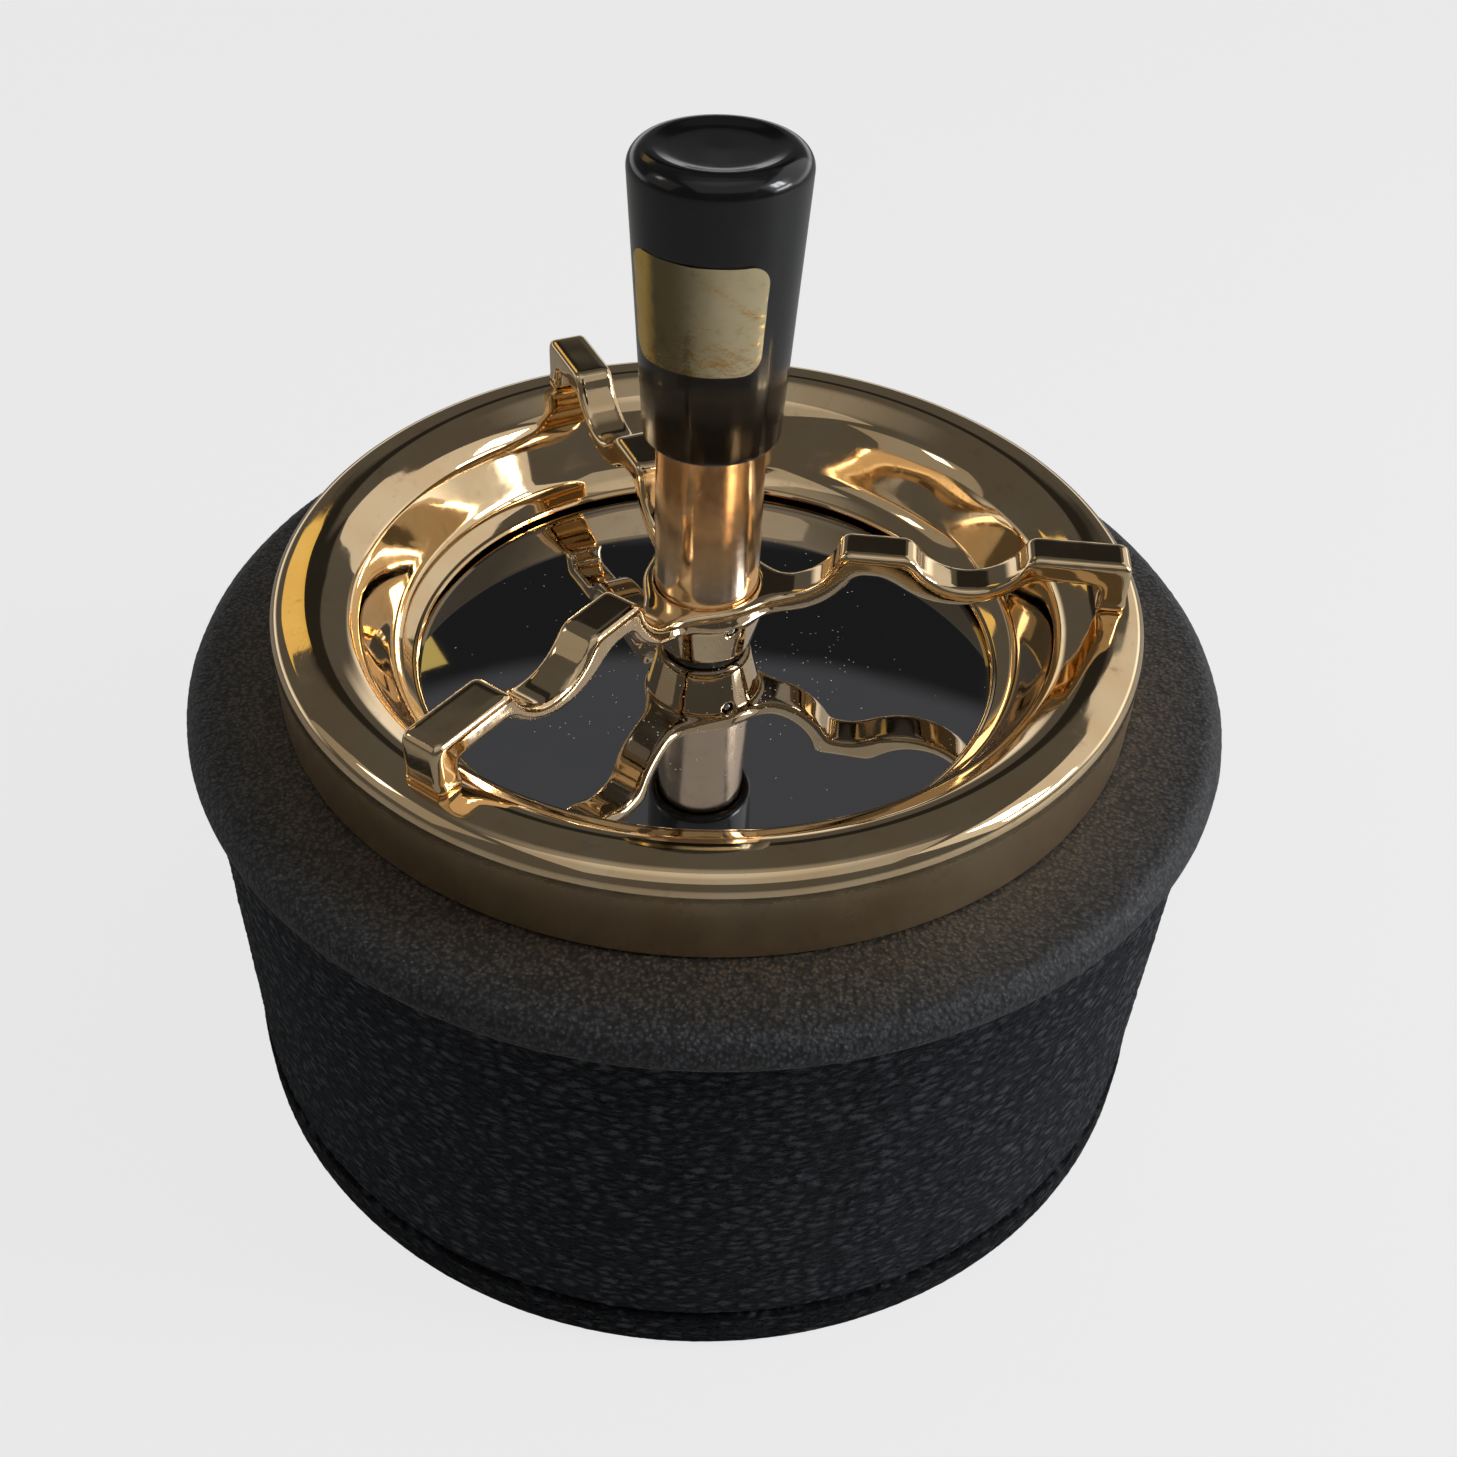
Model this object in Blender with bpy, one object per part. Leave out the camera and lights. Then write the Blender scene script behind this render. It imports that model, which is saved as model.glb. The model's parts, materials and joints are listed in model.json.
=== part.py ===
"""Push-down spinning ashtray: a leather-wrapped steel drum under a lift-off gilded dish.

Three wavy cast arms carry a hub and a fixed column in the middle of the dish. The knob slides down
the column against a spring and takes a twisted spindle with it. The spindle passes through a slotted
nut in the hub, so the polished domed disc that closes the dish drops and spins at the same time,
and ash falls into the drum.

Frame: +Z up, origin on the drum's axis at the surface it stands on. The arm nearest +X is turned by
ARM_START. Lengths below are millimetres and become metres in to_mesh().
"""

import math

import bmesh
import bpy
from mathutils import Matrix, Vector

MM = 0.001

# Facets round large, middling and small turned pieces, and the turn that one step of a bend takes.
BIG = 42
MIDDLE = 30
SMALL = 18
BEND_STEP = math.radians(36)

# Clearance between pieces that rest on, or nest in, each other.
GAP = 0.3

# Drum.
DRUM_R = 65.2
DRUM_SHEET = 0.8
LEATHER_R = 66.6
SHOULDER_R = 68.2
SHOULDER_Z = 64.1
SHOULDER_LOW_Z = 60.1
NECK_R = 54.5
NECK_TOP_Z = 74.3
BAND_R = 66.9
BAND_TOP_Z = 7.3
FLOOR_Z = 2.5
FLOOR_UNDER_Z = 1.4
FELT_R = 62.0
FLOOR_EDGE_R = 62.6
BEAD_INNER_R = 63.2
BEAD_LOW_Z = 0.5
LEATHER_GAP = 0.6

# Gilded dish that covers the drum.
RIM_R = 55.9
RIM_SHEET = 0.8
RIM_OUTER_Z = 76.0
LIP_Z = 76.5
SKIRT_LOW_Z = 64.5
BROW_R = 50.0
BROW_BEND = 5.0
BOWL_LIP_R = 45.5
BOWL_LIP_Z = 73.9
BOWL_R = 41.2
BOWL_Z = 64.8
BOWL_BEND = 5.0
THROAT_R = 38.2
THROAT_Z = 63.2
SCREW_HOLE_R = 1.3

# Disc: a shallow dome that closes the dish from below.
DISC_R = 41.0
DISC_CROWN_Z = 63.8
DISC_DOME_R = 440.0
DISC_SHEET = 0.9
DISC_LIP_DROP = 2.6
DISC_BORE_R = 2.1
SLEEVE_R = 3.6
SLEEVE_TOP_Z = 67.1
WASHER_R = 6.0
WASHER_THICK = 0.8
HEX_R = 4.0
HEX_THICK = 3.0

# Three-arm rest, hub and column.
ARM_COUNT = 3
ARM_START = math.radians(-5.0)
ARM_WIDTH = 5.6
ARM_EDGE = 0.7
ARM_ROOT_R = 5.9
FOOT_R = 51.1
FOOT_UNDER_Z = 76.65
FOOT_INNER_R = 49.3
ARM_END_R = 52.9
BUMP_Z = 81.4
OUTER_BUMP_Z = 83.0
NOTCH_FLOOR_Z = 77.8
NOTCH_UNDER_Z = 74.2
HUB_R = 8.3
HUB_TOP_Z = 73.9
HUB_WAIST_Z = 70.6
COLLAR_R = 7.8
COLLAR_LOW_R = 6.2
COLLAR_LOW_Z = 64.4
HUB_BORE_R = 5.1
COLUMN_R = 6.8
COLUMN_BORE_R = 6.1
COLUMN_SEAT_Z = 71.6
COLUMN_TOP_Z = 106.0
BUSH_BORE_R = 3.9
BUSH_TOP_Z = 67.5
NUT_LOW_Z = 68.3
NUT_TOP_Z = 71.5
PIN_Z = 70.5
PIN_R = 0.6
PIN_INNER_R = 3.8
SCREW_HEAD_R = 1.9
SCREW_HEAD_THICK = 1.6
SCREW_SHANK_R = 0.9
SCREW_REACH = 3.2
PIN_ANGLE = math.radians(-62.0)

# Knob and what it holds.
KNOB_LOW_Z = 96.0
KNOB_LOW_R = 8.4
KNOB_TOP_Z = 131.5
KNOB_TOP_R = 10.4
KNOB_BORE_R = 7.1
KNOB_ROOF_Z = 127.0
LABEL_LOW_Z = 108.4
LABEL_TOP_Z = 121.8
LABEL_MIDDLE = math.radians(-107.0)
LABEL_SPAN = math.radians(104.0)
LABEL_LIFT = 0.1
LABEL_THICK = 0.2
INSERT_BORE_R = 2.3
INSERT_STEM_R = 5.0
INSERT_POCKET_R = 3.4
INSERT_LOW_Z = 118.0
INSERT_FLANGE_Z = 124.8
INSERT_TOP_Z = 126.7
INSERT_POCKET_Z = 122.6

# Spindle: a strip twisted right-handed, with a round stud below and a round shank above.
SPINDLE_LEAD = 20.0
SPINDLE_HALF_WIDTH = 2.3
SPINDLE_HALF_THICK = 0.6
STRIP_LOW_Z = 67.5
STRIP_TOP_Z = 91.0
STUD_R = 1.8
STUD_LOW_Z = 56.8
SHANK_R = 1.9
HEAD_R = 2.9
HEAD_LOW_Z = 124.0
HEAD_TOP_Z = 125.6
THRUST_R = 3.0

# Return spring, from the nut up to the knob's insert.
SPRING_R = 4.0
SPRING_WIRE_R = 0.45
SPRING_LOW_Z = 71.8
SPRING_TOP_Z = 116.8
SPRING_TURNS = 9
SPRING_STEPS = 12
SEAT_BORE_R = 2.4
SEAT_THICK = 0.6


def clear_scene():
    for obj in list(bpy.data.objects):
        bpy.data.objects.remove(obj, do_unlink=True)


def material(name, color, roughness, metallic):
    mat = bpy.data.materials.new(name)
    mat.use_nodes = True
    shader = mat.node_tree.nodes["Principled BSDF"]
    shader.inputs["Base Color"].default_value = (*color, 1.0)
    shader.inputs["Roughness"].default_value = roughness
    shader.inputs["Metallic"].default_value = metallic
    mat.diffuse_color = (*color, 1.0)
    return mat


def make_materials():
    return {
        "gilt": material("gilt", (0.83, 0.62, 0.27), 0.12, 1.0),
        "crinkle": material("crinkle_enamel", (0.03, 0.028, 0.027), 0.6, 0.0),
        "leather": material("black_leather", (0.02, 0.02, 0.023), 0.55, 0.0),
        "felt": material("black_felt", (0.03, 0.03, 0.03), 0.95, 0.0),
        "disc": material("dark_mirror_plate", (0.55, 0.56, 0.58), 0.05, 1.0),
        "knob": material("black_gloss_plastic", (0.01, 0.01, 0.012), 0.12, 0.0),
        "foil": material("gold_foil", (0.72, 0.58, 0.3), 0.25, 1.0),
        "steel": material("plated_steel", (0.62, 0.62, 0.63), 0.3, 1.0),
        "brass": material("turned_brass", (0.72, 0.55, 0.25), 0.3, 1.0),
        "nylon": material("natural_nylon", (0.8, 0.78, 0.7), 0.45, 0.0),
    }


def to_mesh(name, bm, mat, body=None):
    """An object from a closed mesh in millimetres, with its faces turned outwards."""
    bmesh.ops.recalc_face_normals(bm, faces=bm.faces)
    bmesh.ops.scale(bm, vec=Vector((MM, MM, MM)), verts=bm.verts)
    mesh = bpy.data.meshes.new(name)
    bm.to_mesh(mesh)
    bm.free()
    mesh.shade_smooth()
    mesh.set_sharp_from_angle(angle=math.radians(35))
    obj = bpy.data.objects.new(name, mesh)
    bpy.context.scene.collection.objects.link(obj)
    if mat:
        mesh.materials.append(mat)
    if body:
        obj.parent = body
    return obj


def bent(corners):
    """Points along a path of (x, y, bend radius) corners, each bend as an arc."""
    points = [Vector(corners[0][:2])]
    for before, here, after in zip(corners, corners[1:], corners[2:]):
        corner = Vector(here[:2])
        back = (Vector(before[:2]) - corner).normalized()
        ahead = (Vector(after[:2]) - corner).normalized()
        radius = here[2] if len(here) > 2 else 0.0
        turn = math.pi - back.angle(ahead)
        if radius <= 0.0 or turn < 0.02:
            points.append(corner)
            continue
        reach = radius * math.tan(turn / 2)
        middle = (back + ahead).normalized()
        centre = corner + middle * (radius / math.cos(turn / 2))
        start = corner + back * reach - centre
        side = 1.0 if back.x * ahead.y - back.y * ahead.x < 0 else -1.0
        steps = max(1, math.ceil(turn / BEND_STEP))
        for step in range(steps + 1):
            angle = side * turn * step / steps
            points.append(centre + Matrix.Rotation(angle, 2) @ start)
    points.append(Vector(corners[-1][:2]))
    return points


def moved_left(corners, distance):
    """The corners of a path that runs the sheet's thickness to the left of this one."""
    ends = [Vector(corner[:2]) for corner in corners]
    sides = []
    for start, end in zip(ends, ends[1:]):
        along = (end - start).normalized()
        sides.append(Vector((-along.y, along.x)))
    result = [(*(ends[0] + sides[0] * distance), 0.0)]
    for here, corner, before, after in zip(ends[1:-1], corners[1:-1], sides, sides[1:]):
        shift = (before + after) * (distance / (1.0 + before.dot(after)))
        turns_left = before.x * after.y - before.y * after.x > 0
        radius = corner[2] if len(corner) > 2 else 0.0
        radius += -distance if turns_left else distance
        result.append((*(here + shift), radius if radius > 0.2 else 0.0))
    result.append((*(ends[-1] + sides[-1] * distance), 0.0))
    return result


def sheet(corners, thickness):
    """Closed section of a bent sheet whose show side is the path and whose back is to its left."""
    return bent(corners) + bent(moved_left(corners, thickness))[::-1]


def turned(name, section, facets, mat, body=None):
    """A solid of revolution about Z from a closed section of (radius, height) points."""
    bm = bmesh.new()
    rings = []
    for radius, height in section:
        if radius < 1e-6:
            rings.append([bm.verts.new((0.0, 0.0, height))])
            continue
        ring = []
        for step in range(facets):
            angle = 2 * math.pi * step / facets
            place = (radius * math.cos(angle), radius * math.sin(angle), height)
            ring.append(bm.verts.new(place))
        rings.append(ring)
    for lower, upper in zip(rings, rings[1:] + rings[:1]):
        if len(lower) == 1 and len(upper) == 1:
            continue
        for step in range(facets):
            after = (step + 1) % facets
            corners = [lower[step % len(lower)], lower[after % len(lower)]]
            corners += [upper[after % len(upper)], upper[step % len(upper)]]
            bm.faces.new(list(dict.fromkeys(corners)))
    return to_mesh(name, bm, mat, body)


def lofted(name, sections, mat, body=None):
    """A closed solid through a stack of loops that all have the same number of points."""
    bm = bmesh.new()
    loops = [[bm.verts.new(point) for point in section] for section in sections]
    for lower, upper in zip(loops, loops[1:]):
        for step in range(len(lower)):
            after = (step + 1) % len(lower)
            bm.faces.new((lower[step], lower[after], upper[after], upper[step]))
    bm.faces.new(loops[0][::-1])
    bm.faces.new(loops[-1])
    return to_mesh(name, bm, mat, body)


def circle(radius, height, count):
    angles = [2 * math.pi * step / count for step in range(count)]
    return [(radius * math.cos(a), radius * math.sin(a), height) for a in angles]


def rod(name, radius, start, end, facets=12):
    """A plain round rod between two points, used as a cutter and for pins."""
    start, end = Vector(start), Vector(end)
    turn = (end - start).to_track_quat("Z", "Y").to_matrix()
    length = (end - start).length
    ends = []
    for height in (0.0, length):
        ends.append([start + turn @ Vector(p) for p in circle(radius, height, facets)])
    return lofted(name, ends, None)


def boolean(obj, other, operation):
    """Adds an exact Boolean to the object, and hides the other shape as a helper."""
    step = obj.modifiers.new(other.name, "BOOLEAN")
    step.operation = operation
    step.solver = "EXACT"
    step.object = other
    other.hide_render = True
    other.display_type = "WIRE"


def round_place(radius, angle, height):
    return (radius * math.cos(angle), radius * math.sin(angle), height)


def arm_angles():
    return [ARM_START + 2 * math.pi * turn / ARM_COUNT for turn in range(ARM_COUNT)]


def body_empty(name, parent=None):
    empty = bpy.data.objects.new(name, None)
    bpy.context.scene.collection.objects.link(empty)
    empty.parent = parent
    return empty


# --- Drum -------------------------------------------------------------------------------------


def pot_shell(mats, body):
    """Wall, rolled shoulder and the neck that the dish drops over, in one pressed sheet."""
    path = [
        (DRUM_R, FLOOR_Z + GAP),
        (DRUM_R, SHOULDER_LOW_Z, 0.5),
        (SHOULDER_R, SHOULDER_LOW_Z + 0.2, 0.9),
        (SHOULDER_R, SHOULDER_Z, 3.0),
        (NECK_R, SHOULDER_Z, 1.2),
        (NECK_R, NECK_TOP_Z),
    ]
    return turned("pot_shell", sheet(path, DRUM_SHEET), BIG, mats["crinkle"], body)


def base_plate(mats, body):
    """Pressed floor with the band that holds the wall and shows as a bead below the leather."""
    section = bent(
        [
            (0.0, FLOOR_UNDER_Z),
            (FLOOR_EDGE_R, FLOOR_UNDER_Z),
            (BEAD_INNER_R, BEAD_LOW_Z, 0.4),
            (BAND_R, BEAD_LOW_Z, 1.6),
            (BAND_R, BAND_TOP_Z, 0.5),
            (DRUM_R + GAP, BAND_TOP_Z),
            (DRUM_R + GAP, FLOOR_Z),
            (0.0, FLOOR_Z),
        ]
    )
    return turned("base_plate", section, BIG, mats["crinkle"], body)


def base_felt(mats, body):
    section = [(0.0, 0.0), (FELT_R, 0.0), (FELT_R, FLOOR_UNDER_Z - GAP)]
    section.append((0.0, FLOOR_UNDER_Z - GAP))
    return turned("base_felt", section, BIG, mats["felt"], body)


def leather_wrap(mats, body):
    low, top = BAND_TOP_Z + LEATHER_GAP, SHOULDER_LOW_Z - LEATHER_GAP
    inner = DRUM_R + GAP
    section = [(inner, low), (LEATHER_R, low), (LEATHER_R, top), (inner, top)]
    return turned("leather_wrap", section, BIG, mats["leather"], body)


# --- Dish, rest and column --------------------------------------------------------------------


def gilt_rim(mats, body):
    """Skirt, flat rim and dished bowl down to the open throat, with three screw holes."""
    path = [
        (RIM_R, SKIRT_LOW_Z),
        (RIM_R, RIM_OUTER_Z, 2.4),
        (BROW_R, LIP_Z, BROW_BEND),
        (BOWL_LIP_R, BOWL_LIP_Z, BROW_BEND),
        (BOWL_R, BOWL_Z, BOWL_BEND),
        (THROAT_R, THROAT_Z),
    ]
    rim = turned("gilt_rim", sheet(path, RIM_SHEET), BIG, mats["gilt"], body)
    for number, angle in enumerate(arm_angles(), 1):
        low = round_place(FOOT_R, angle, RIM_OUTER_Z - 4)
        high = round_place(FOOT_R, angle, RIM_OUTER_Z + 4)
        boolean(rim, rod(f"rim_hole_cutter_{number}", SCREW_HOLE_R, low, high), "DIFFERENCE")
    return rim


def arm_outline():
    """Side view of one arm as (distance from the axis, height): bumps, rest notch and foot."""
    top = [
        (ARM_ROOT_R, HUB_TOP_Z + 0.4),
        (10.9, HUB_TOP_Z + 0.4, 3.0),
        (16.7, BUMP_Z, 1.3),
        (26.2, BUMP_Z, 1.5),
        (29.4, NOTCH_FLOOR_Z, 3.6),
        (37.4, NOTCH_FLOOR_Z, 3.6),
        (41.2, OUTER_BUMP_Z, 1.4),
        (ARM_END_R, OUTER_BUMP_Z, 1.2),
        (ARM_END_R, FOOT_UNDER_Z),
    ]
    under = [
        (FOOT_INNER_R, FOOT_UNDER_Z),
        (FOOT_INNER_R, OUTER_BUMP_Z - 3.7, 0.5),
        (42.2, OUTER_BUMP_Z - 3.7, 1.4),
        (37.6, NOTCH_UNDER_Z, 4.0),
        (28.4, NOTCH_UNDER_Z, 4.0),
        (23.6, BUMP_Z - 3.4, 1.5),
        (18.6, BUMP_Z - 3.4, 1.5),
        (14.4, HUB_WAIST_Z + 2.3, 3.0),
        (9.6, HUB_WAIST_Z + 0.6, 3.0),
        (ARM_ROOT_R, HUB_WAIST_Z + 0.3),
    ]
    return bent(top) + bent(under)


def bar(name, outline, width, edge, angle):
    """An arm's outline made solid along its width, with the long edges chamfered."""
    half = width / 2
    middle = sum(outline, Vector((0.0, 0.0))) / len(outline)
    bm = bmesh.new()
    faces = []
    for side in (-half, half):
        loop = [bm.verts.new((point.x, side, point.y)) for point in outline]
        faces.append(loop)
    for step in range(len(outline)):
        after = (step + 1) % len(outline)
        near, far = faces
        bm.faces.new((near[step], near[after], far[after], far[step]))
    bm.faces.new(faces[0][::-1])
    bm.faces.new(faces[1])
    bmesh.ops.recalc_face_normals(bm, faces=bm.faces)
    long_edges = [e for e in bm.edges if is_top_edge(e, middle.y)]
    bmesh.ops.bevel(bm, geom=long_edges, offset=edge, segments=1, affect="EDGES")
    bmesh.ops.rotate(bm, matrix=Matrix.Rotation(angle, 3, "Z"), verts=bm.verts)
    return to_mesh(name, bm, None)


def is_top_edge(edge, level):
    """True on an edge between an arm's side and its top."""
    if len(edge.link_faces) != 2:
        return False
    normals = [face.normal for face in edge.link_faces]
    across = max(abs(n.y) for n in normals) > 0.9
    upward = max(n.z for n in normals) > 0.25
    along = abs((edge.verts[0].co - edge.verts[1].co).y) < 1e-6
    return across and upward and along


def spider(mats, body):
    """Hub with a tapered collar, bored for the column, nut and bush, joined to the three arms."""
    section = bent(
        [
            (HUB_BORE_R, COLLAR_LOW_Z),
            (COLLAR_LOW_R, COLLAR_LOW_Z, 0.6),
            (COLLAR_R, HUB_WAIST_Z, 1.0),
            (HUB_R, HUB_WAIST_Z + 0.6, 0.4),
            (HUB_R, HUB_TOP_Z, 0.7),
            (COLUMN_R + GAP, HUB_TOP_Z),
            (COLUMN_R + GAP, COLUMN_SEAT_Z),
            (HUB_BORE_R, COLUMN_SEAT_Z),
        ]
    )
    hub = turned("spider", section, MIDDLE, mats["gilt"], body)
    outline = arm_outline()
    for number, angle in enumerate(arm_angles(), 1):
        arm = bar(f"arm_blank_{number}", outline, ARM_WIDTH, ARM_EDGE, angle)
        boolean(hub, arm, "UNION")
    bores = turned("hub_bore_cutter", hub_bore_section(), MIDDLE, None)
    boolean(hub, bores, "DIFFERENCE")
    for number, angle in enumerate(arm_angles(), 1):
        low = round_place(FOOT_R, angle, FOOT_UNDER_Z - 2)
        high = round_place(FOOT_R, angle, FOOT_UNDER_Z + 3.7)
        boolean(hub, rod(f"foot_hole_cutter_{number}", SCREW_SHANK_R + GAP, low, high), "DIFFERENCE")
    inner = round_place(PIN_INNER_R - 1, PIN_ANGLE, PIN_Z)
    outer = round_place(HUB_R + 3, PIN_ANGLE, PIN_Z)
    boolean(hub, rod("collar_pin_cutter", PIN_R + GAP, inner, outer), "DIFFERENCE")
    return hub


def hub_bore_section():
    """The space in the hub, a little past its ends, that clears the arms' roots."""
    return [
        (0.0, COLLAR_LOW_Z - 2),
        (HUB_BORE_R, COLLAR_LOW_Z - 2),
        (HUB_BORE_R, COLUMN_SEAT_Z),
        (COLUMN_R + GAP, COLUMN_SEAT_Z),
        (COLUMN_R + GAP, HUB_TOP_Z + 4),
        (0.0, HUB_TOP_Z + 4),
    ]


def spider_screw(number, angle, mats, body):
    """Pan-head screw that holds one foot from below the rim."""
    seat = RIM_OUTER_Z - RIM_SHEET - 0.1
    section = bent(
        [
            (0.0, seat - SCREW_HEAD_THICK),
            (SCREW_HEAD_R, seat - SCREW_HEAD_THICK, 0.7),
            (SCREW_HEAD_R, seat),
            (SCREW_SHANK_R, seat),
            (SCREW_SHANK_R, FOOT_UNDER_Z + SCREW_REACH),
            (0.0, FOOT_UNDER_Z + SCREW_REACH),
        ]
    )
    screw = turned(f"spider_screw_{number}", section, 12, mats["steel"], body)
    place = Vector(round_place(FOOT_R * MM, angle, 0.0))
    screw.location = place
    return screw


def column_tube(mats, body):
    """Polished tube that stands in the hub and guides the knob."""
    low = COLUMN_SEAT_Z + GAP
    section = [
        (COLUMN_BORE_R, low),
        (COLUMN_R, low),
        (COLUMN_R, COLUMN_TOP_Z),
        (COLUMN_BORE_R, COLUMN_TOP_Z),
    ]
    return turned("column_tube", section, MIDDLE, mats["gilt"], body)


def drive_nut(mats, body):
    """Round nut whose slot is twisted with the spindle's lead."""
    outer = HUB_BORE_R - GAP
    section = [(0.0, NUT_LOW_Z), (outer, NUT_LOW_Z), (outer, NUT_TOP_Z), (0.0, NUT_TOP_Z)]
    nut = turned("drive_nut", section, SMALL, mats["brass"], body)
    steps, past_end = 8, 1.0
    length = NUT_TOP_Z - NUT_LOW_Z + 2 * past_end
    levels = [NUT_LOW_Z - past_end + length * step / steps for step in range(steps + 1)]
    slot = [strip_loop(level, GAP) for level in levels]
    boolean(nut, lofted("nut_slot_cutter", slot, None), "DIFFERENCE")
    inner = round_place(PIN_INNER_R - GAP, PIN_ANGLE, PIN_Z)
    outside = round_place(HUB_R, PIN_ANGLE, PIN_Z)
    boolean(nut, rod("nut_pin_cutter", PIN_R + GAP, inner, outside), "DIFFERENCE")
    return nut


def nut_pin(mats, body):
    """Cross pin through the collar that stops the nut from turning."""
    inner = round_place(PIN_INNER_R, PIN_ANGLE, PIN_Z)
    outer = round_place(COLLAR_R - 0.4, PIN_ANGLE, PIN_Z)
    pin = rod("nut_pin", PIN_R, inner, outer)
    pin.data.materials.append(mats["steel"])
    pin.parent = body
    return pin


def hub_bush(mats, body):
    low, outer = COLLAR_LOW_Z + GAP, HUB_BORE_R - GAP
    section = [(BUSH_BORE_R, low), (outer, low), (outer, BUSH_TOP_Z), (BUSH_BORE_R, BUSH_TOP_Z)]
    return turned("hub_bush", section, SMALL, mats["nylon"], body)


def spring_loop(turn, wire_points):
    """Section of the spring's wire at a number of turns from its lower end."""
    angle = 2 * math.pi * turn
    low = SPRING_LOW_Z + SPRING_WIRE_R
    rise = SPRING_TOP_Z - SPRING_LOW_Z - 2 * SPRING_WIRE_R
    height = low + rise * turn / SPRING_TURNS
    loop = []
    for step in range(wire_points):
        around = 2 * math.pi * step / wire_points
        radius = SPRING_R + SPRING_WIRE_R * math.cos(around)
        loop.append(round_place(radius, angle, height + SPRING_WIRE_R * math.sin(around)))
    return loop


def return_spring(mats, body):
    turns = [step / SPRING_STEPS for step in range(SPRING_TURNS * SPRING_STEPS + 1)]
    loops = [spring_loop(turn, 5) for turn in turns]
    return lofted("return_spring", loops, mats["steel"], body)


# --- Knob -------------------------------------------------------------------------------------


def knob(mats, body):
    """Hollow tapered knob that slides down over the column."""
    section = bent(
        [
            (0.0, KNOB_ROOF_Z),
            (KNOB_BORE_R, KNOB_ROOF_Z),
            (KNOB_BORE_R, KNOB_LOW_Z),
            (KNOB_LOW_R, KNOB_LOW_Z, 0.8),
            (KNOB_TOP_R, KNOB_TOP_Z, 1.5),
            (0.0, KNOB_TOP_Z - 0.5),
        ]
    )
    return turned("knob", section, MIDDLE, mats["knob"], body)


def knob_radius(height):
    rise = (height - KNOB_LOW_Z) / (KNOB_TOP_Z - KNOB_LOW_Z)
    return KNOB_LOW_R + (KNOB_TOP_R - KNOB_LOW_R) * rise


def knob_label(mats, body):
    """Plain foil patch wrapped round the side of the knob, with clipped corners."""
    steps = 14
    bm = bmesh.new()
    columns = []
    for step in range(steps + 1):
        angle = LABEL_MIDDLE + LABEL_SPAN * (step / steps - 0.5)
        clip = 1.2 if step in (0, steps) else 0.0
        column = []
        for height in (LABEL_LOW_Z + clip, LABEL_TOP_Z - clip):
            for lift in (LABEL_LIFT, LABEL_LIFT + LABEL_THICK):
                place = round_place(knob_radius(height) + lift, angle, height)
                column.append(bm.verts.new(place))
        low_in, low_out, top_in, top_out = column
        columns.append((low_in, low_out, top_out, top_in))
    for left, right in zip(columns, columns[1:]):
        for corner in range(4):
            after = (corner + 1) % 4
            bm.faces.new((left[corner], left[after], right[after], right[corner]))
    bm.faces.new(columns[0][::-1])
    bm.faces.new(columns[-1])
    return to_mesh("knob_label", bm, mats["foil"], body)


def knob_insert(mats, body):
    """Brass insert in the knob: the spring pushes on its stem and the spindle hangs in its pocket."""
    section = [
        (INSERT_BORE_R, INSERT_LOW_Z),
        (INSERT_STEM_R, INSERT_LOW_Z),
        (INSERT_STEM_R, INSERT_FLANGE_Z),
        (KNOB_BORE_R - GAP, INSERT_FLANGE_Z),
        (KNOB_BORE_R - GAP, INSERT_TOP_Z),
        (INSERT_POCKET_R, INSERT_TOP_Z),
        (INSERT_POCKET_R, INSERT_POCKET_Z),
        (INSERT_BORE_R, INSERT_POCKET_Z),
    ]
    return turned("knob_insert", section, SMALL, mats["brass"], body)


def spring_seat(mats, body):
    """Washer between the spring and the insert."""
    low = SPRING_TOP_Z + GAP
    top = low + SEAT_THICK
    outer = INSERT_STEM_R
    section = [(SEAT_BORE_R, low), (outer, low), (outer, top), (SEAT_BORE_R, top)]
    return turned("spring_seat", section, SMALL, mats["steel"], body)


# --- Spindle and disc -------------------------------------------------------------------------


def strip_loop(height, clearance=0.0):
    """Eight points round the twisted strip at one height."""
    half_width = SPINDLE_HALF_WIDTH + clearance
    half_thick = SPINDLE_HALF_THICK + clearance
    turn = Matrix.Rotation(2 * math.pi * height / SPINDLE_LEAD, 3, "Z")
    loop = []
    for step in range(8):
        across = round(math.cos(math.pi * step / 4)) * half_width
        through = round(math.sin(math.pi * step / 4)) * half_thick
        loop.append(turn @ Vector((across, through, height)))
    return loop


def spindle_ring(radius, height, twist_height):
    """Eight points on a circle, turned to meet the strip's loop at twist_height."""
    turn = Matrix.Rotation(2 * math.pi * twist_height / SPINDLE_LEAD, 3, "Z")
    return [turn @ Vector(point) for point in circle(radius, height, 8)]


def spindle(mats, body):
    """Round stud, twisted strip, round shank and the head that hangs in the knob."""
    loops = [
        spindle_ring(STUD_R, STUD_LOW_Z, STRIP_LOW_Z),
        spindle_ring(STUD_R, STRIP_LOW_Z - 0.2, STRIP_LOW_Z),
    ]
    steps = round(STRIP_TOP_Z - STRIP_LOW_Z)
    for step in range(steps + 1):
        height = STRIP_LOW_Z + (STRIP_TOP_Z - STRIP_LOW_Z) * step / steps
        loops.append(strip_loop(height))
    for radius, height in (
        (SHANK_R, STRIP_TOP_Z + 0.5),
        (SHANK_R, HEAD_LOW_Z - 0.1),
        (HEAD_R, HEAD_LOW_Z),
        (HEAD_R, HEAD_TOP_Z),
    ):
        loops.append(spindle_ring(radius, height, STRIP_TOP_Z))
    return lofted("spindle", loops, mats["steel"], body)


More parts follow.
